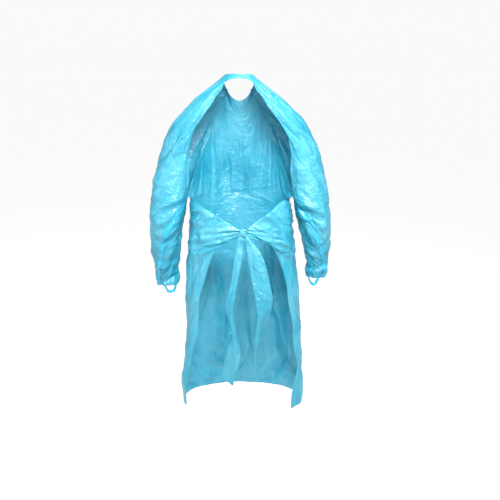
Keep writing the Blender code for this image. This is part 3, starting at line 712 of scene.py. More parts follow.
knotCentre = np.array([-0.002, 0.134, -0.5455])
atKnot = (0.0142, -0.0182)  # the back edges where they run into the knot
panel = {
    "form": [  # z, half width, reach to the front and to the back
        (-0.39, 0.188, 0.150, 0.112),
        (-0.45, 0.191, 0.152, 0.124),
        (-0.55, 0.202, 0.155, 0.133),
        (-0.65, 0.2075, 0.160, 0.132),
        (-0.77, 0.220, 0.167, 0.128),
        (-0.90, 0.223, 0.174, 0.124),
        (-1.05, 0.230, 0.181, 0.120),
        (-1.15, 0.238, 0.184, 0.118),
        (-1.25, 0.230, 0.182, 0.116),
    ],
    "chestTop": (-0.076, 0.092, 52),  # height and reach of the middle line, and how far a row curves
    "chestBottom": (-0.430, 0.152, 86),
    "chestSwell": 0.9,
    "riseTurn": 50,
    "riseBend": 1.3,
    "rows": [  # height at the middle and at the back edge, left and right back edge
        (-0.456, -0.437, 0.172, -0.143),
        (-0.480, -0.458, 0.142, -0.119),
        (-0.502, -0.480, 0.106, -0.091),
        (-0.524, -0.502, 0.067, -0.056),
        (-0.544, -0.521, 0.035, -0.032),
        *[(round(-0.562 - 0.018 * k, 3), round(-0.53 - 0.0062 * k, 4), *atKnot) for k in range(6)],
        (-0.672, -0.573, 0.044, -0.060),
        (-0.694, -0.594, 0.080, -0.101),
        (-0.722, -0.628, 0.106, -0.128),
        (-0.756, -0.675, 0.125, -0.144),
        (-0.798, -0.732, 0.143, -0.158),
        (-0.848, -0.799, 0.159, -0.172),
        (-0.906, -0.872, 0.165, -0.182),
        (-0.968, -0.944, 0.172, -0.191),
        (-1.030, -1.014, 0.187, -0.200),
        (-1.092, -1.083, 0.204, -0.206),
        (-1.148, -1.143, 0.214, -0.200),
        (-1.190, -1.196, 0.220, -0.186),
        (-1.222, -1.244, 0.222, -0.182),
    ],
    "columns": 36,
    "lowerRows": 130,
    "acrossPoints": 165,
    "fineRows": 139,
    "fineAcross": 195,
    "calmNeck": 0.015,
    "spare": (1.030, 1.030, 1.012),
    "startCreases": [
        {"count": 120, "seed": 41, "lie": 74, "spread": 30, "length": 0.080, "width": 0.010, "depth": 0.0028,
         "within": [(-0.5, -0.42), (0.5, 0)]},
        *[{"count": 240, "seed": seed, "lie": lie, "spread": 22, "length": 0.075, "width": 0.007,
           "depth": 0.0036, "within": [(first, -0.66), (last, -0.40)]}
          for seed, lie, first, last in ((42, 12, 0.18, 0.5), (43, -12, -0.5, -0.18))],
        {"count": 300, "seed": 44, "lie": 84, "spread": 24, "length": 0.120, "width": 0.009, "depth": 0.0046,
         "within": [(-0.6, -1.3), (0.6, -0.64)]},
    ],
    "growthTop": 0.032,
    "growthWing": 0.070,
    "wing": (0.35, 0.8),  # starts and is whole at these shares of the way to the back edge
    "growthSkirt": 0.055,
    "skirt": (-0.55, -0.85),  # starts and is whole at these heights
    "holdFree": 0.06,
    "holdEdge": 0.40,
    "folds": [
        (-0.90, -118, -6, 0.22, 0.026, -0.009),
        (-1.00, -88, 5, 0.24, 0.030, 0.010),
        (-1.02, -62, -4, 0.24, 0.030, -0.011),
        (-0.98, -38, 5, 0.28, 0.030, 0.012),
        (-1.04, -14, 3, 0.26, 0.030, -0.012),
        (-0.98, 10, -4, 0.28, 0.030, 0.012),
        (-1.03, 34, 5, 0.26, 0.030, -0.011),
        (-0.99, 60, -4, 0.24, 0.030, 0.011),
        (-1.02, 86, 4, 0.24, 0.030, -0.010),
        (-0.92, 112, 6, 0.22, 0.026, 0.009),
        (-0.30, -16, 24, 0.12, 0.030, -0.009),
        (-0.34, 22, -28, 0.12, 0.030, 0.008),
    ],
    "torsoRadius": 0.205,
    # pleats that run from the knot into each wing: row, depth, and how far along the wing they reach
    "pleats": [(-5.0, 0.0030, 0.45), (-3.6, -0.0036, 0.60), (-2.4, 0.0040, 0.50), (-1.3, -0.0038, 0.65),
               (-0.3, 0.0038, 0.52), (0.7, -0.0036, 0.68), (1.8, 0.0040, 0.50), (3.0, -0.0038, 0.60),
               (4.3, 0.0034, 0.48), (5.8, -0.0030, 0.64)],
    "crinkles": {"count": 700, "seed": 5, "lie": 20, "spread": 60, "length": 0.055, "width": 0.0045,
                 "depth": 0.0018},
    "foldLines": [(1, -0.20, 0.0008), (1, -0.675, -0.0010), (1, -0.92, 0.0008), (0, -0.17, 0.0007),
                  (0, 0.17, -0.0007), (0, 0.34, 0.0007), (0, -0.34, 0.0007)],
    "edgeWave": 0.004,
    "edgeWaves": 42,
    "edgeReach": 0.035,
    "pleatWide": 0.42,
    "pleatWander": 0.35,
    "knotCrowd": 2.2,  # rows stand this much closer near the knot
    "knotPull": 0.35,
    "pullFrom": 0.93,
    "pullRows": 3.2,
    "wingRows": 6,
    "calmRows": 5,  # the edge's wave fades out this near to the knot
    "hemFade": (0.05, 0.4),  # folds fade over this height to this share
}


def wholeRow(left, right):  # two halves that start at the middle line
    return np.concatenate([right[:0:-1], left])


def panelControl():
    form = np.array(panel["form"])
    sideShares = np.linspace(0, 1, panel["columns"] // 2 + 1)

    def formAt(z):
        at = np.interp(-z, -form[:, 0], np.arange(len(form)))
        return throughRows(form, at)[0]

    rows = []
    top, bottom = np.array(panel["chestTop"]), np.array(panel["chestBottom"])
    for i in range(armpitRow + 1):
        share = i / armpitRow
        z, wrap = (top + (bottom - top) * share)[[0, 2]]
        front = top[1] + (bottom[1] - top[1]) * sin(share * pi / 2) ** panel["chestSwell"]
        wrap, halves = radians(wrap), []
        for made in (leftSleeve, rightSleeve):
            seam = made["control"][i, 0, :3]
            angle = sideShares * wrap
            halves.append(np.stack([
                leanAt(z) + (seam[0] - leanAt(z)) * np.sin(angle) / sin(wrap),
                seam[1] + (-front - seam[1]) * (np.cos(angle) - cos(wrap)) / (1 - cos(wrap)),
                z + (seam[2] - z) * sideShares**2,
            ], axis=1))
        rows.append(wholeRow(*halves))
    for middleZ, edgeZ, leftX, rightX in panel["rows"]:
        halves = []
        for side, edgeX in ((1, leftX), (-1, rightX)):
            reach = abs(edgeX - leanAt(edgeZ)) / formAt(edgeZ)[1]
            lastTurn = 180 - np.degrees(np.arcsin(min(reach, 1)))
            half = []
            for turn in lastTurn * sideShares:
                climb = max((turn - panel["riseTurn"]) / (lastTurn - panel["riseTurn"]), 0)
                z = middleZ + (edgeZ - middleZ) * climb ** panel["riseBend"]
                _, halfWidth, front, back = formAt(z)
                angle = radians(turn)
                deep = front if turn < 90 else back
                half.append((leanAt(z) + side * halfWidth * sin(angle), -deep * cos(angle), z))
            halves.append(np.array(half))
        rows.append(wholeRow(*halves))
    return np.array(rows)


def startPanel():
    control = panelControl()
    knotRows = [armpitRow + 1 + k for k, row in enumerate(panel["rows"]) if row[2:] == atKnot]
    knotMiddle = sum(knotRows) / len(knotRows)
    crowd = np.ones(len(control))
    crowd[knotRows[0] - 4 : knotRows[-1] + 3] = panel["knotCrowd"]
    lowerAt = evenPlaces(control, panel["lowerRows"] + 1, armpitRow, crowd=crowd)[1:]
    rowsAt = np.concatenate([seamAt, lowerAt])
    grid = refine(control, rowsAt, panel["acrossPoints"])
    cut = cutOf(grid)
    normal = -gridNormals(grid)
    z = grid[..., 2]
    turn = np.degrees(np.arctan2(grid[..., 0] - leanAt(z), -grid[..., 1]))
    rows, columns = grid.shape[:2]
    reach = np.abs(2 * np.arange(columns) / (columns - 1) - 1)[None, :]
    hemHeight, hemShare = panel["hemFade"]
    hemFade = np.minimum((z - z[-1:]) / hemHeight + hemShare, 1)
    depth = foldsAt(panel["folds"], z, turn, panel["torsoRadius"]) * (1 - reach**8) * hemFade

    side = np.sign(np.arange(columns) - columns // 2)[None, :]
    for place, tall, length in panel["pleats"]:
        wander = panel["pleatWander"] * np.sin(reach * 7 + place * 2 + side) * (1 - reach)
        off = (rowsAt[:, None] - knotMiddle - place - 0.25 * side - wander) / panel["pleatWide"]
        along = smoothStep(length - 0.25, 1.0, reach)
        depth += tall * along * np.exp(-np.abs(off) ** 1.5)

    toSide = toSides(cut)
    free = np.clip((np.arange(rows) - sleeve["seamRows"]) / 10, 0, 1)[:, None]
    nearKnot = np.exp(-(((rowsAt - knotMiddle) / panel["calmRows"]) ** 2))[:, None]
    edge = np.exp(-toSide / panel["edgeReach"]) * free * (1 - nearKnot)
    depth += panel["edgeWave"] * edge * np.sin(cut[..., 1] * panel["edgeWaves"] + 1.5 * side)
    toNeck = cut[0, 0, 1] - cut[..., 1]
    calm = smoothStep(0, calmEdge["start"], toSide) * smoothStep(0, calmEdge["start"], toNeck)
    for creases in panel["startCreases"]:
        depth += crinklesAt(cut, creases) * calm
    grid += normal * depth[..., None]

    fromKnot = rowsAt[:, None] - knotMiddle
    pull = smoothStep(panel["pullFrom"], 1, reach) * np.exp(-((fromKnot / panel["pullRows"]) ** 6))
    grid += (knotCentre - grid) * panel["knotPull"] * pull[..., None]

    hold = np.full(z.shape, panel["holdFree"])
    hold[:, [0, -1]] = panel["holdEdge"]
    hold[-1] = panel["holdEdge"]
    hold = np.maximum(hold, smoothStep(0.4, 0.9, pull))
    hold[: sleeve["seamRows"], [0, -1]] = 1
    hold[0] = 1
    wing = np.exp(-((fromKnot / panel["wingRows"]) ** 2)) * smoothStep(*panel["wing"], reach)
    skirt = smoothStep(*panel["skirt"], z)
    growth = panel["growthTop"] + (panel["growthSkirt"] - panel["growthTop"]) * skirt
    growth = growth + (panel["growthWing"] - growth) * wing
    return {"name": "front_panel", "side": -1, "grid": grid, "cut": cut, "joined": None, "hold": hold,
            "growth": growth / -crumple["cloth"]["shrink_max"], "spare": panel["spare"]}


frontPanel = startPanel()
print("front panel formed")
crumpleFilm([leftSleeve, rightSleeve, frontPanel])
print("film crumpled")


def finishFilm(made, form, seedShift):
    grid, cut = finer(made, form)
    calm = smoothStep(0, calmEdge["fine"], toSides(cut))
    calm *= smoothStep(0, form["calmNeck"], cut[0, 0, 1] - cut[..., 1])
    depth = (crinklesAt(cut, form["crinkles"], seedShift) + foldLinesAt(cut, form["foldLines"])) * calm
    joined = None if made["joined"] is None else sleeve["fineSeamRows"] - 1
    grid += gridNormals(grid, joined) * made["side"] * depth[..., None]
    if joined is not None:
        grid[joined:, -1] = grid[joined:, 0]
    piece = filmObject("film_" + made["name"], grid, cut, blueFilm, joined)
    seenAs(piece, made["name"], "film")
    made.update(grid=grid, cut=cut, joined=joined, piece=piece)


finishFilm(leftSleeve, sleeve, 0)
finishFilm(rightSleeve, sleeve, 1)
finishFilm(frontPanel, panel, 0)
print("sleeves and front panel made")

napeBand = {
    "bow": 0.012,
    "rise": 0.013,
    "arch": 2.5,
    "pinchTurn": -14,
    "pinchHalf": 7,
    "pinchDrop": 0.003,
    "pinchWave": 0.003,
    "ripple": (0.0016, 31, 5),  # height, and waves across and down
    "across": 64,
    "down": 12,
}


def makeBand():
    control = []
    rightEdge, leftEdge = rightSleeve["grid"][:, -1], leftSleeve["grid"][:, -1]
    low = np.linalg.norm(leftEdge - leftSleeve["control"][1, -1, :3], axis=1).argmin()
    mix = np.linspace(0, 1, napeBand["across"])
    turns = gownForm["bandTurn"] * (2 * mix - 1)
    top = np.array([necklinePoint(abs(turn), 1 if turn > 0 else -1) for turn in turns])
    bottom = rightEdge[low] * (1 - mix[:, None]) + leftEdge[low] * mix[:, None]
    bottom[:, 1] += napeBand["bow"] * (1 - (2 * mix - 1) ** 2)
    bottom[:, 2] += napeBand["rise"] * (1 - np.abs(2 * mix - 1) ** napeBand["arch"])
    pinch = np.exp(-(((turns - napeBand["pinchTurn"]) / napeBand["pinchHalf"]) ** 2))
    tall, across, down = napeBand["ripple"]
    for k in range(napeBand["down"]):
        share = k / (napeBand["down"] - 1)
        row = top * (1 - share) + bottom * share
        row[:, 2] -= napeBand["pinchDrop"] * pinch * (1 - share)
        row[:, 1] += tall * np.sin(mix * across + share * down) * sin(pi * share) * (1 - (2 * mix - 1) ** 8)
        row[:, 1] += napeBand["pinchWave"] * pinch * cos(share * 9)
        control.append(row)
    grid = np.array(control)
    return grid, cutOf(grid)


grid, bandCut = makeBand()
bandPiece = filmObject("film_nape_band", grid, bandCut, blueFilm)
seenAs(bandPiece, "nape_band", "film")
print("nape band made")

tails = {
    # z, x, y, width, turn of the strip, and how much of it is folded over the rest
    "left": [
        (-0.552, 0.005, 0.136, 0.016, 0, 0.95),
        (-0.572, 0.007, 0.139, 0.024, 2, 0.92),
        (-0.590, 0.0085, 0.138, 0.026, 3, 0.90),
        (-0.635, 0.014, 0.141, 0.030, 8, 0.85),
        (-0.700, 0.024, 0.143, 0.026, 14, 0.80),
        (-0.760, 0.036, 0.143, 0.027, 10, 0.70),
        (-0.815, 0.047, 0.143, 0.036, -5, 0.60),
        (-0.872, 0.041, 0.143, 0.024, 10, 0.70),
        (-0.935, 0.034, 0.143, 0.030, 18, 0.75),
        (-1.000, 0.034, 0.143, 0.056, 12, 0.50),
        (-1.060, 0.046, 0.143, 0.057, -8, 0.25),
        (-1.090, 0.052, 0.143, 0.050, -10, 0.15),
        (-1.107, 0.047, 0.143, 0.030, -12, 0.10),
        (-1.125, 0.038, 0.143, 0.005, -14, 0.10),
    ],
    "right": [
        (-0.552, -0.0085, 0.136, 0.016, 0, 0.90),
        (-0.572, -0.017, 0.138, 0.026, -2, 0.80),
        (-0.590, -0.029, 0.138, 0.034, -4, 0.70),
        (-0.625, -0.044, 0.141, 0.056, -8, 0.45),
        (-0.680, -0.058, 0.143, 0.067, -6, 0.25),
        (-0.740, -0.071, 0.143, 0.069, 4, 0.10),
        (-0.800, -0.082, 0.143, 0.068, 10, 0.05),
        (-0.850, -0.080, 0.143, 0.054, 25, 0.12),
        (-0.905, -0.063, 0.143, 0.034, 42, 0.45),
        (-0.943, -0.059, 0.143, 0.040, 41, 0.50),
        (-0.993, -0.051, 0.143, 0.036, 74, 0.50),
        (-1.050, -0.053, 0.143, 0.034, 72, 0.40),
        (-1.104, -0.058, 0.143, 0.026, 72, 0.40),
    ],
    "leftPleats": (2.5, 0.0016),
    "rightPleats": (1.5, 0.0016),
    "apart": 0.0028,  # half the distance between the folded-over film and the rest
    "foldRound": 0.035,
    "down": 190,
    "across": 45,
    "crinkles": {"count": 90, "seed": 3, "lie": 75, "spread": 35, "length": 0.040, "width": 0.0035,
                 "depth": 0.0016},
    "foldLines": [(1, -0.26, 0.0012), (1, -0.46, -0.0010)],
}


def makeTail(rows, pleats, seed, foldSide):
    rows = np.array(rows)
    lengths = np.concatenate([[0], np.cumsum(np.linalg.norm(np.diff(rows[:, :3], axis=0), axis=1))])
    at = np.interp(np.linspace(0, lengths[-1], tails["down"]), lengths, np.arange(len(rows)))
    z, x, y, width, turn, over = throughRows(rows, at).T[:, :, None]
    angle = np.radians(turn)
    share = np.linspace(0, 1, tails["across"])[None, :]
    foldAt = 1 / (1 + over)
    past = share - foldAt
    bend = tails["foldRound"]
    spread = (foldAt - np.sqrt(past**2 + bend**2)) / foldAt + bend
    across = foldSide * width * (spread - 0.5)
    out = tails["apart"] * np.tanh(past / 0.05) + pleats[1] * np.cos(2 * pi * pleats[0] * share + 5 * z)
    grid = np.stack([
        x + across * np.cos(angle) - out * np.sin(angle),
        y + across * np.sin(angle) + out * np.cos(angle),
        np.broadcast_to(z, across.shape),
    ], axis=2)
    cut = cutOf(grid)
    depth = crinklesAt(cut, dict(tails["crinkles"], seed=seed)) + foldLinesAt(cut, tails["foldLines"])
    depth *= smoothStep(0, 0.05, np.arange(len(z)) / len(z))[:, None]
    return grid + gridNormals(grid) * depth[..., None], cut


tailPieces = []
for name, rows, pleats, seed, foldSide in (("left", tails["left"], tails["leftPleats"], 3, -1),
                                           ("right", tails["right"], tails["rightPleats"], 8, 1)):
    grid, cut = makeTail(rows, pleats, seed, foldSide)
    piece = filmObject("film_tie_tail_" + name, grid, cut, blueFilm)
    seenAs(piece, "tie_tail_" + name, "film")
    tailPieces.append((piece, cut))
print("tails made")

knot = {
    "half": (0.0138, 0.0112, 0.0150),
    "square": 0.78,
    "waist": 0.06,  # how much the middle is drawn in
    "pleats": 11,
    "pleatDepth": 0.0011,
    "wrapTilt": 24,  # degrees from upright, seen from behind
    "wrapWide": 0.0070,
    "wrapThick": 0.0024,
    "wrapLift": 0.0008,
    "wrapPleat": 0.0007,
}


def closedGrid(rows, columns, pointAt):
    return np.array([[pointAt(i / (rows - 1), j / (columns - 1)) for j in range(columns)]
                     for i in range(rows)])


def makeKnot():
    half = np.array(knot["half"])

    def corePoint(v, u):  # v runs from the left pole to the right one, u round the bundle
        polar, around = pi * v, 2 * pi * u
        direction = np.array([cos(polar), sin(polar) * sin(around), sin(polar) * cos(around)])
        squared = np.sign(direction) * np.abs(direction) ** knot["square"]
        ripple = sin(knot["pleats"] * around + 3 * sin(polar * 2)) + 0.5 * sin(17 * around + 5 * v)
        waist = 1 - knot["waist"] * sin(polar)
        return knotCentre + squared * half * waist + direction * knot["pleatDepth"] * ripple

    def wrapPoint(v, u):  # v runs round the knot, u round the band's own section
        around, section = 2 * pi * v, 2 * pi * u
        tilt = radians(knot["wrapTilt"])
        ring = np.array([0, cos(around), sin(around)])
        ring = np.array([ring[2] * sin(tilt), ring[1], ring[2] * cos(tilt)])
        squared = np.sign(ring) * np.abs(ring) ** 0.85
        wide = np.array([cos(tilt), 0, -sin(tilt)])
        pinch = 0.8 + 0.2 * cos(2 * around + 0.6)
        side = knot["wrapWide"] * pinch * cos(section)
        out = knot["wrapThick"] * sin(section) + knot["wrapPleat"] * sin(9 * cos(section) + 3 * sin(around))
        return knotCentre + squared * (half + knot["wrapLift"]) + wide * side + ring * out

    return closedGrid(49, 121, corePoint), closedGrid(97, 49, wrapPoint)


parts = []
for grid in makeKnot():
    part = filmObject("knotPart", grid, cutOf(grid), blueFilm, thickness=0)
    roundOut(part.data, joinWithin=0.00002)
    parts.append(part)
with bpy.context.temp_override(active_object=parts[0], selected_editable_objects=parts):
    bpy.ops.object.join()
knotPiece = parts[0]
knotPiece.name = "film_tie_knot"
knotPiece.data.shade_smooth()
seenAs(knotPiece, "tie_knot", "film")
print("knot made")

welds = {
    "lift": 0.0016,
    "thick": 0.0003,
    "stripColumns": 4,
    "raglanOnPanel": 2,
    "raglanOnSleeve": 3,
    "ribApart": 0.0042,
    "ribThick": 0.0007,
    "ribTall": 0.0005,
    "hemUp": 0.009,
    "hemBead": 0.0014,
}


def makeArmWeld(made, name):
    grid, joined = made["grid"], made["joined"]
    outward = -gridNormals(grid, joined) * made["side"]
    rows = slice(joined + 1, None)
    wide = welds["stripColumns"]
    columns = list(range(-wide, -1)) + list(range(0, wide))
    strip = grid[rows][:, columns] + outward[rows][:, columns] * welds["lift"]
    piece = filmObject("film_seam_strip_" + name, strip, cutOf(strip), weldedFilm, thickness=welds["thick"])
    seenAs(piece, "seam_strip_" + name, "welded_film")
    return piece, strip


def makeRaglanWeld(made, name):  # doubled film over the seam between the sleeve and the front
    rows = slice(0, made["joined"] + 1)
    onSleeve = made["grid"][rows, : welds["raglanOnSleeve"] + 1]
    if made["side"] > 0:
        onPanel = frontPanel["grid"][rows, -welds["raglanOnPanel"] - 1 : -1]
    else:
        onPanel = frontPanel["grid"][rows, welds["raglanOnPanel"] : 0 : -1]
    strip = np.concatenate([onPanel, onSleeve], axis=1)
    strip = strip - gridNormals(strip) * made["side"] * welds["lift"]
    piece = filmObject("film_raglan_weld_" + name, strip, cutOf(strip), weldedFilm, thickness=welds["thick"])
    seenAs(piece, None, "welded_film")
    return piece, strip


def startTree(name, sizes):
    tree = bpy.data.node_groups.new(name, "GeometryNodeTree")
    for socket, way, kind in [("Geometry", "OUTPUT", "Geometry"), ("Geometry", "INPUT", "Geometry"),
                              *[(size, "INPUT", "Float") for size in sizes], ("Film", "INPUT", "Material")]:
        tree.interface.new_socket(socket, in_out=way, socket_type="NodeSocket" + kind)
    add, link = nodeTools(tree)
    given, out = add("NodeGroupInput", (-900, 0)), add("NodeGroupOutput", (900, 0))
    real = add("GeometryNodeRealizeInstances", (420, 50))
    paint = add("GeometryNodeSetMaterial", (640, 50))
    link(real, "Geometry", paint, "Geometry")
    link(given, "Film", paint, "Material")
    link(paint, "Geometry", out, "Geometry")
    return tree, add, link, given, real


def sealTree():  # small bars across a weld, one each step along its path
    tree, add, link, given, real = startTree("sealBars", ("Apart", "Wide", "Thick", "Tall"))
    curve = add("GeometryNodeMeshToCurve", (-700, 100))
    steps = add("GeometryNodeResampleCurve", (-500, 100), mode="LENGTH")
    outward = add("GeometryNodeInputNamedAttribute", (-500, -300), {"Name": "outward"},
                  data_type="FLOAT_VECTOR")
    along = add("GeometryNodeInputTangent", (-500, -450))
    turn = add("FunctionNodeAxesToRotation", (-250, -300), primary_axis="Z", secondary_axis="Y")
    size = add("ShaderNodeCombineXYZ", (-250, -120))
    bar = add("GeometryNodeMeshCube", (-50, -120))
    place = add("GeometryNodeInstanceOnPoints", (200, 50))
    for ends in [
        (given, "Geometry", curve, "Mesh"),
        (curve, "Curve", steps, "Curve"),
        (given, "Apart", steps, "Length"),
        (steps, "Curve", place, "Points"),
        (outward, "Attribute", turn, "Primary Axis"),
        (along, "Tangent", turn, "Secondary Axis"),
        (turn, "Rotation", place, "Rotation"),
        (given, "Wide", size, "X"),
        (given, "Thick", size, "Y"),
        (given, "Tall", size, "Z"),
        (size, "Vector", bar, "Size"),
        (bar, "Mesh", place, "Instance"),
        (place, "Instances", real, "Geometry"),
    ]:
        link(*ends)
    return tree


def beadTree():  # a thin round bead along a path
    tree, add, link, given, real = startTree("weldBead", ("Radius",))
    curve = add("GeometryNodeMeshToCurve", (-700, 100))
    ring = add("GeometryNodeCurvePrimitiveCircle", (-500, -150), {"Resolution": 8})
    sweep = add("GeometryNodeCurveToMesh", (-200, 50), {"Fill Caps": True})
    smooth = add("GeometryNodeSetShadeSmooth", (50, 50))
    for ends in [
        (given, "Geometry", curve, "Mesh"),
        (given, "Radius", ring, "Radius"),
        (curve, "Curve", sweep, "Curve"),
        (ring, "Curve", sweep, "Profile Curve"),
        (sweep, "Mesh", smooth, "Geometry"),
        (smooth, "Geometry", real, "Geometry"),
    ]:
        link(*ends)
    return tree


def alongPath(name, path, outward, tree, sizes):  # runs a tree on a polyline and keeps a plain mesh
    mesh = bpy.data.meshes.new(name)
    mesh.from_pydata(path.tolist(), [(k, k + 1) for k in range(len(path) - 1)], [])
    mesh.attributes.new("outward", "FLOAT_VECTOR", "POINT").data.foreach_set("vector", outward.ravel())
    carrier = addObject(name + "_path", mesh)
    modifier = carrier.modifiers.new("along", "NODES")
    modifier.node_group = tree
    sockets = {item.name: item.identifier for item in tree.interface.items_tree if item.in_out == "INPUT"}
    for size, value in sizes.items():
        modifier[sockets[size]] = value
    modifier[sockets["Film"]] = weldedFilm
    carrier.update_tag()
    graph = bpy.context.evaluated_depsgraph_get()
    made = bpy.data.meshes.new_from_object(carrier.evaluated_get(graph), depsgraph=graph)
    bpy.data.objects.remove(carrier)
    made.name = name
    piece = addObject(name, made)
    seenAs(piece, None, "welded_film")
    return piece


def addSeals(name, strip, side, tree):  # the small bars along the middle of a weld strip
    middle = strip.shape[1] // 2
    wide = np.linalg.norm(np.diff(strip, axis=1), axis=2).sum(axis=1).mean() * 0.8
    return alongPath(name, strip[:, middle], -gridNormals(strip)[:, middle] * side, tree, {
        "Apart": welds["ribApart"], "Wide": wide, "Thick": welds["ribThick"], "Tall": welds["ribTall"]})


bars = sealTree()
frontPanel["trim"] = []
for made, name in ((leftSleeve, "left"), (rightSleeve, "right")):
    armPiece, armStrip = makeArmWeld(made, name)
    made["trim"] = [armPiece, addSeals("film_arm_seals_" + name, armStrip, made["side"], bars)]
    raglanPiece, raglanStrip = makeRaglanWeld(made, name)
    frontPanel["trim"] += [
        raglanPiece, addSeals("film_raglan_seals_" + name, raglanStrip, made["side"], bars)]
hemUp = welds["hemUp"] / (frontPanel["cut"][-2, 0, 1] - frontPanel["cut"][-1, 0, 1])
hemRow = throughRows(frontPanel["grid"], [len(frontPanel["grid"]) - 1 - hemUp])[0]
frontPanel["trim"].append(alongPath(
    "film_hem_weld", hemRow, np.zeros_like(hemRow), beadTree(), {"Radius": welds["hemBead"]}))
print("welds made")

thumbLoop = {
    "start": 0.10,  # shares of the way round the cuff
    "end": 0.30,
    "crowd": 0.04,  # its points stand closer together at the two ends
    "up": 0.005,  # its ends lie this far up the cuff
    "fall": 0.027,
    "inward": 0.006,
    "width": 0.0106,
    "thick": 0.0005,
    "twist": 28,
    "along": 49,
    "across": 7,
}


def makeThumbLoop(made, name):  # a flat band of film bent down into a U below the cuff
    ring = made["grid"][-1][:-1]
    middle = ring.mean(axis=0)
    shares = np.linspace(0, 1, thumbLoop["along"])
    around = shares + thumbLoop["crowd"] * np.sin(4 * pi * shares)
    around = thumbLoop["start"] + (thumbLoop["end"] - thumbLoop["start"]) * around
    base = throughRows(ring, around * (len(ring) - 1))
    inward = unit(middle - base)
    path = base + inward * (thumbLoop["inward"] * np.sin(pi * shares) + 0.0006)[:, None]
    path[:, 2] += thumbLoop["up"] - (thumbLoop["fall"] + thumbLoop["up"]) * np.sin(pi * shares) ** 0.6
    along = unit(np.gradient(path, axis=0))
    flat = unit(np.cross(along, inward))
    lean = np.radians(thumbLoop["twist"] * np.sin(2 * pi * shares + 0.6 * made["side"]))[:, None]
    flat = flat * np.cos(lean) + np.cross(along, flat) * np.sin(lean)
    across = np.linspace(-0.5, 0.5, thumbLoop["across"])[None, :, None] * thumbLoop["width"]
    strip = path[:, None] + flat[:, None] * across
    cut = np.stack(np.broadcast_arrays(across[..., 0], -np.cumsum(
        np.linalg.norm(np.diff(path, axis=0, prepend=path[:1]), axis=1))[:, None]), axis=-1)
    piece = filmObject("film_thumb_loop_" + name, strip, cut, weldedFilm, thickness=thumbLoop["thick"])
    seenAs(piece, "thumb_loop_" + name, "welded_film")
    return piece, cut


loopPieces = [makeThumbLoop(leftSleeve, "left"), makeThumbLoop(rightSleeve, "right")]
print("thumb loops made")

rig.sheet(frontPanel["piece"], **flatSize(frontPanel["cut"]), held="hung", with_pieces=frontPanel["trim"],
         rests_on=["film_sleeve_left", "film_sleeve_right", "film_tie_knot"])
for made in (leftSleeve, rightSleeve):
    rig.sheet(made["piece"], **flatSize(made["cut"]), held="hung", with_pieces=made["trim"],
             rests_on=["film_nape_band"])
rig.sheet(bandPiece, **flatSize(bandCut), held="stretched", rests_on=["film_sleeve_left", "film_sleeve_right"])
for piece, cut in tailPieces:
    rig.sheet(piece, **flatSize(cut), held="hung", rests_on=["film_tie_knot"])
for (piece, cut), made in zip(loopPieces, (leftSleeve, rightSleeve)):
    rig.sheet(piece, **flatSize(cut), held="hung", rests_on=[made["piece"].name])

studio = {
    "floor": -1.5,
    "floorHalf": 300.0,
    "paper": 0.97,
    "roomLight": 0.16,
    "sun": {"strength": 2.8, "size": 110, "tilt": 22, "turn": 12},  # turn 0 comes from behind the back
    "lights": [  # place, what it shines on, width, height, watts, spread
        ((-0.20, 1.75, 0.85), (0.0, 0.0, -0.38), 0.80, 0.80, 15.5, 62),
        ((-1.5, 2.4, 0.9), (0, 0, -0.5), 0.15, 0.50, 4, 180),
        ((1.7, 2.3, 0.6), (0, 0, -0.5), 0.15, 0.50, 4, 180),
        ((-2.2, 0.8, 0.2), (0, 0, -0.4), 0.30, 0.60, 7, 120),
        ((2.3, 0.6, 0.0), (0, 0, -0.4), 0.30, 0.60, 7, 120),
        ((-0.6, -1.7, 2.0), (0, 0, -0.45), 0.50, 0.50, 16, 110),
        ((1.6, -2.3, 0.5), (0, 0, -0.5), 0.15, 0.50, 4, 180),
    ],
}

mesh = bpy.data.meshes.new("floor")
half = studio["floorHalf"]
mesh.from_pydata([(x * half, y * half, studio["floor"]) for x, y in ((-1, -1), (1, -1), (1, 1), (-1, 1))],
                 [], [(0, 1, 2, 3)])
floor = addObject("floor", mesh)
paper = bpy.data.materials.new("palePaper")
paper.use_nodes = True
paperInputs = paper.node_tree.nodes["Principled BSDF"].inputs
paperInputs["Base Color"].default_value = (*[studio["paper"]] * 3, 1)
paperInputs["Roughness"].default_value = 1
paperInputs["Specular IOR Level"].default_value = 0
mesh.materials.append(paper)
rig.stage(floor)

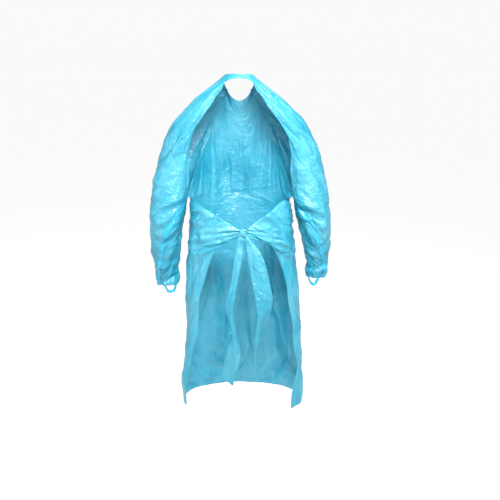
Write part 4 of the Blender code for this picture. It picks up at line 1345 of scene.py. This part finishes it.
scene.world = bpy.data.worlds.new("studio")
scene.world.use_nodes = True
scene.world.node_tree.nodes.clear()
add, link = nodeTools(scene.world.node_tree)
sunGlow = studio["sun"]["strength"] * cos(radians(studio["sun"]["tilt"])) / pi
asFloor = studio["paper"] * (studio["roomLight"] + sunGlow)
room = add("ShaderNodeBackground", (0, 0), {"Color": (1, 1, 1, 1), "Strength": studio["roomLight"]})
white = add("ShaderNodeBackground", (0, -150), {"Color": (1, 1, 1, 1), "Strength": asFloor})
choose = add("ShaderNodeMixShader", (250, 0))
link(add("ShaderNodeLightPath", (0, 350)), "Is Camera Ray", choose, "Fac")
link(room, 0, choose, 1)
link(white, 0, choose, 2)
link(choose, 0, add("ShaderNodeOutputWorld", (500, 0)), "Surface")

sun = bpy.data.lights.new("sun", "SUN")
sun.energy = studio["sun"]["strength"]
sun.angle = radians(studio["sun"]["size"])
addObject("sun", sun).rotation_euler = (
    radians(-studio["sun"]["tilt"]), 0, radians(studio["sun"]["turn"]))

for k, (place, target, width, height, watts, spread) in enumerate(studio["lights"]):
    lamp = bpy.data.lights.new(f"softbox{k}", "AREA")
    lamp.shape = "RECTANGLE"
    lamp.size, lamp.size_y = width, height
    lamp.energy, lamp.spread = watts, radians(spread)
    aim = (Vector(target) - Vector(place)).to_track_quat("-Z", "Y").to_matrix().to_4x4()
    addObject(f"softbox{k}", lamp).matrix_world = Matrix.Translation(place) @ aim

camera = {"place": (-0.028, 3.5, 0.05), "down": 11.07, "lens": 67.54}
lens = bpy.data.cameras.new("camera")
lens.lens = camera["lens"]
lens.sensor_width = 36
scene.camera = addObject("camera", lens)
down = radians(camera["down"])
scene.camera.matrix_world = Matrix.Translation(camera["place"]) @ Matrix((
    (-1, 0, 0, 0), (0, -sin(down), cos(down), 0), (0, cos(down), sin(down), 0), (0, 0, 0, 1)))
scene.view_settings.view_transform = "Standard"
print("studio made")

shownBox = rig.bounds()
with open("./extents.json", "w") as sizes:
    json.dump([[list(corner) for corner in cadBox], [list(corner) for corner in shownBox]], sizes)
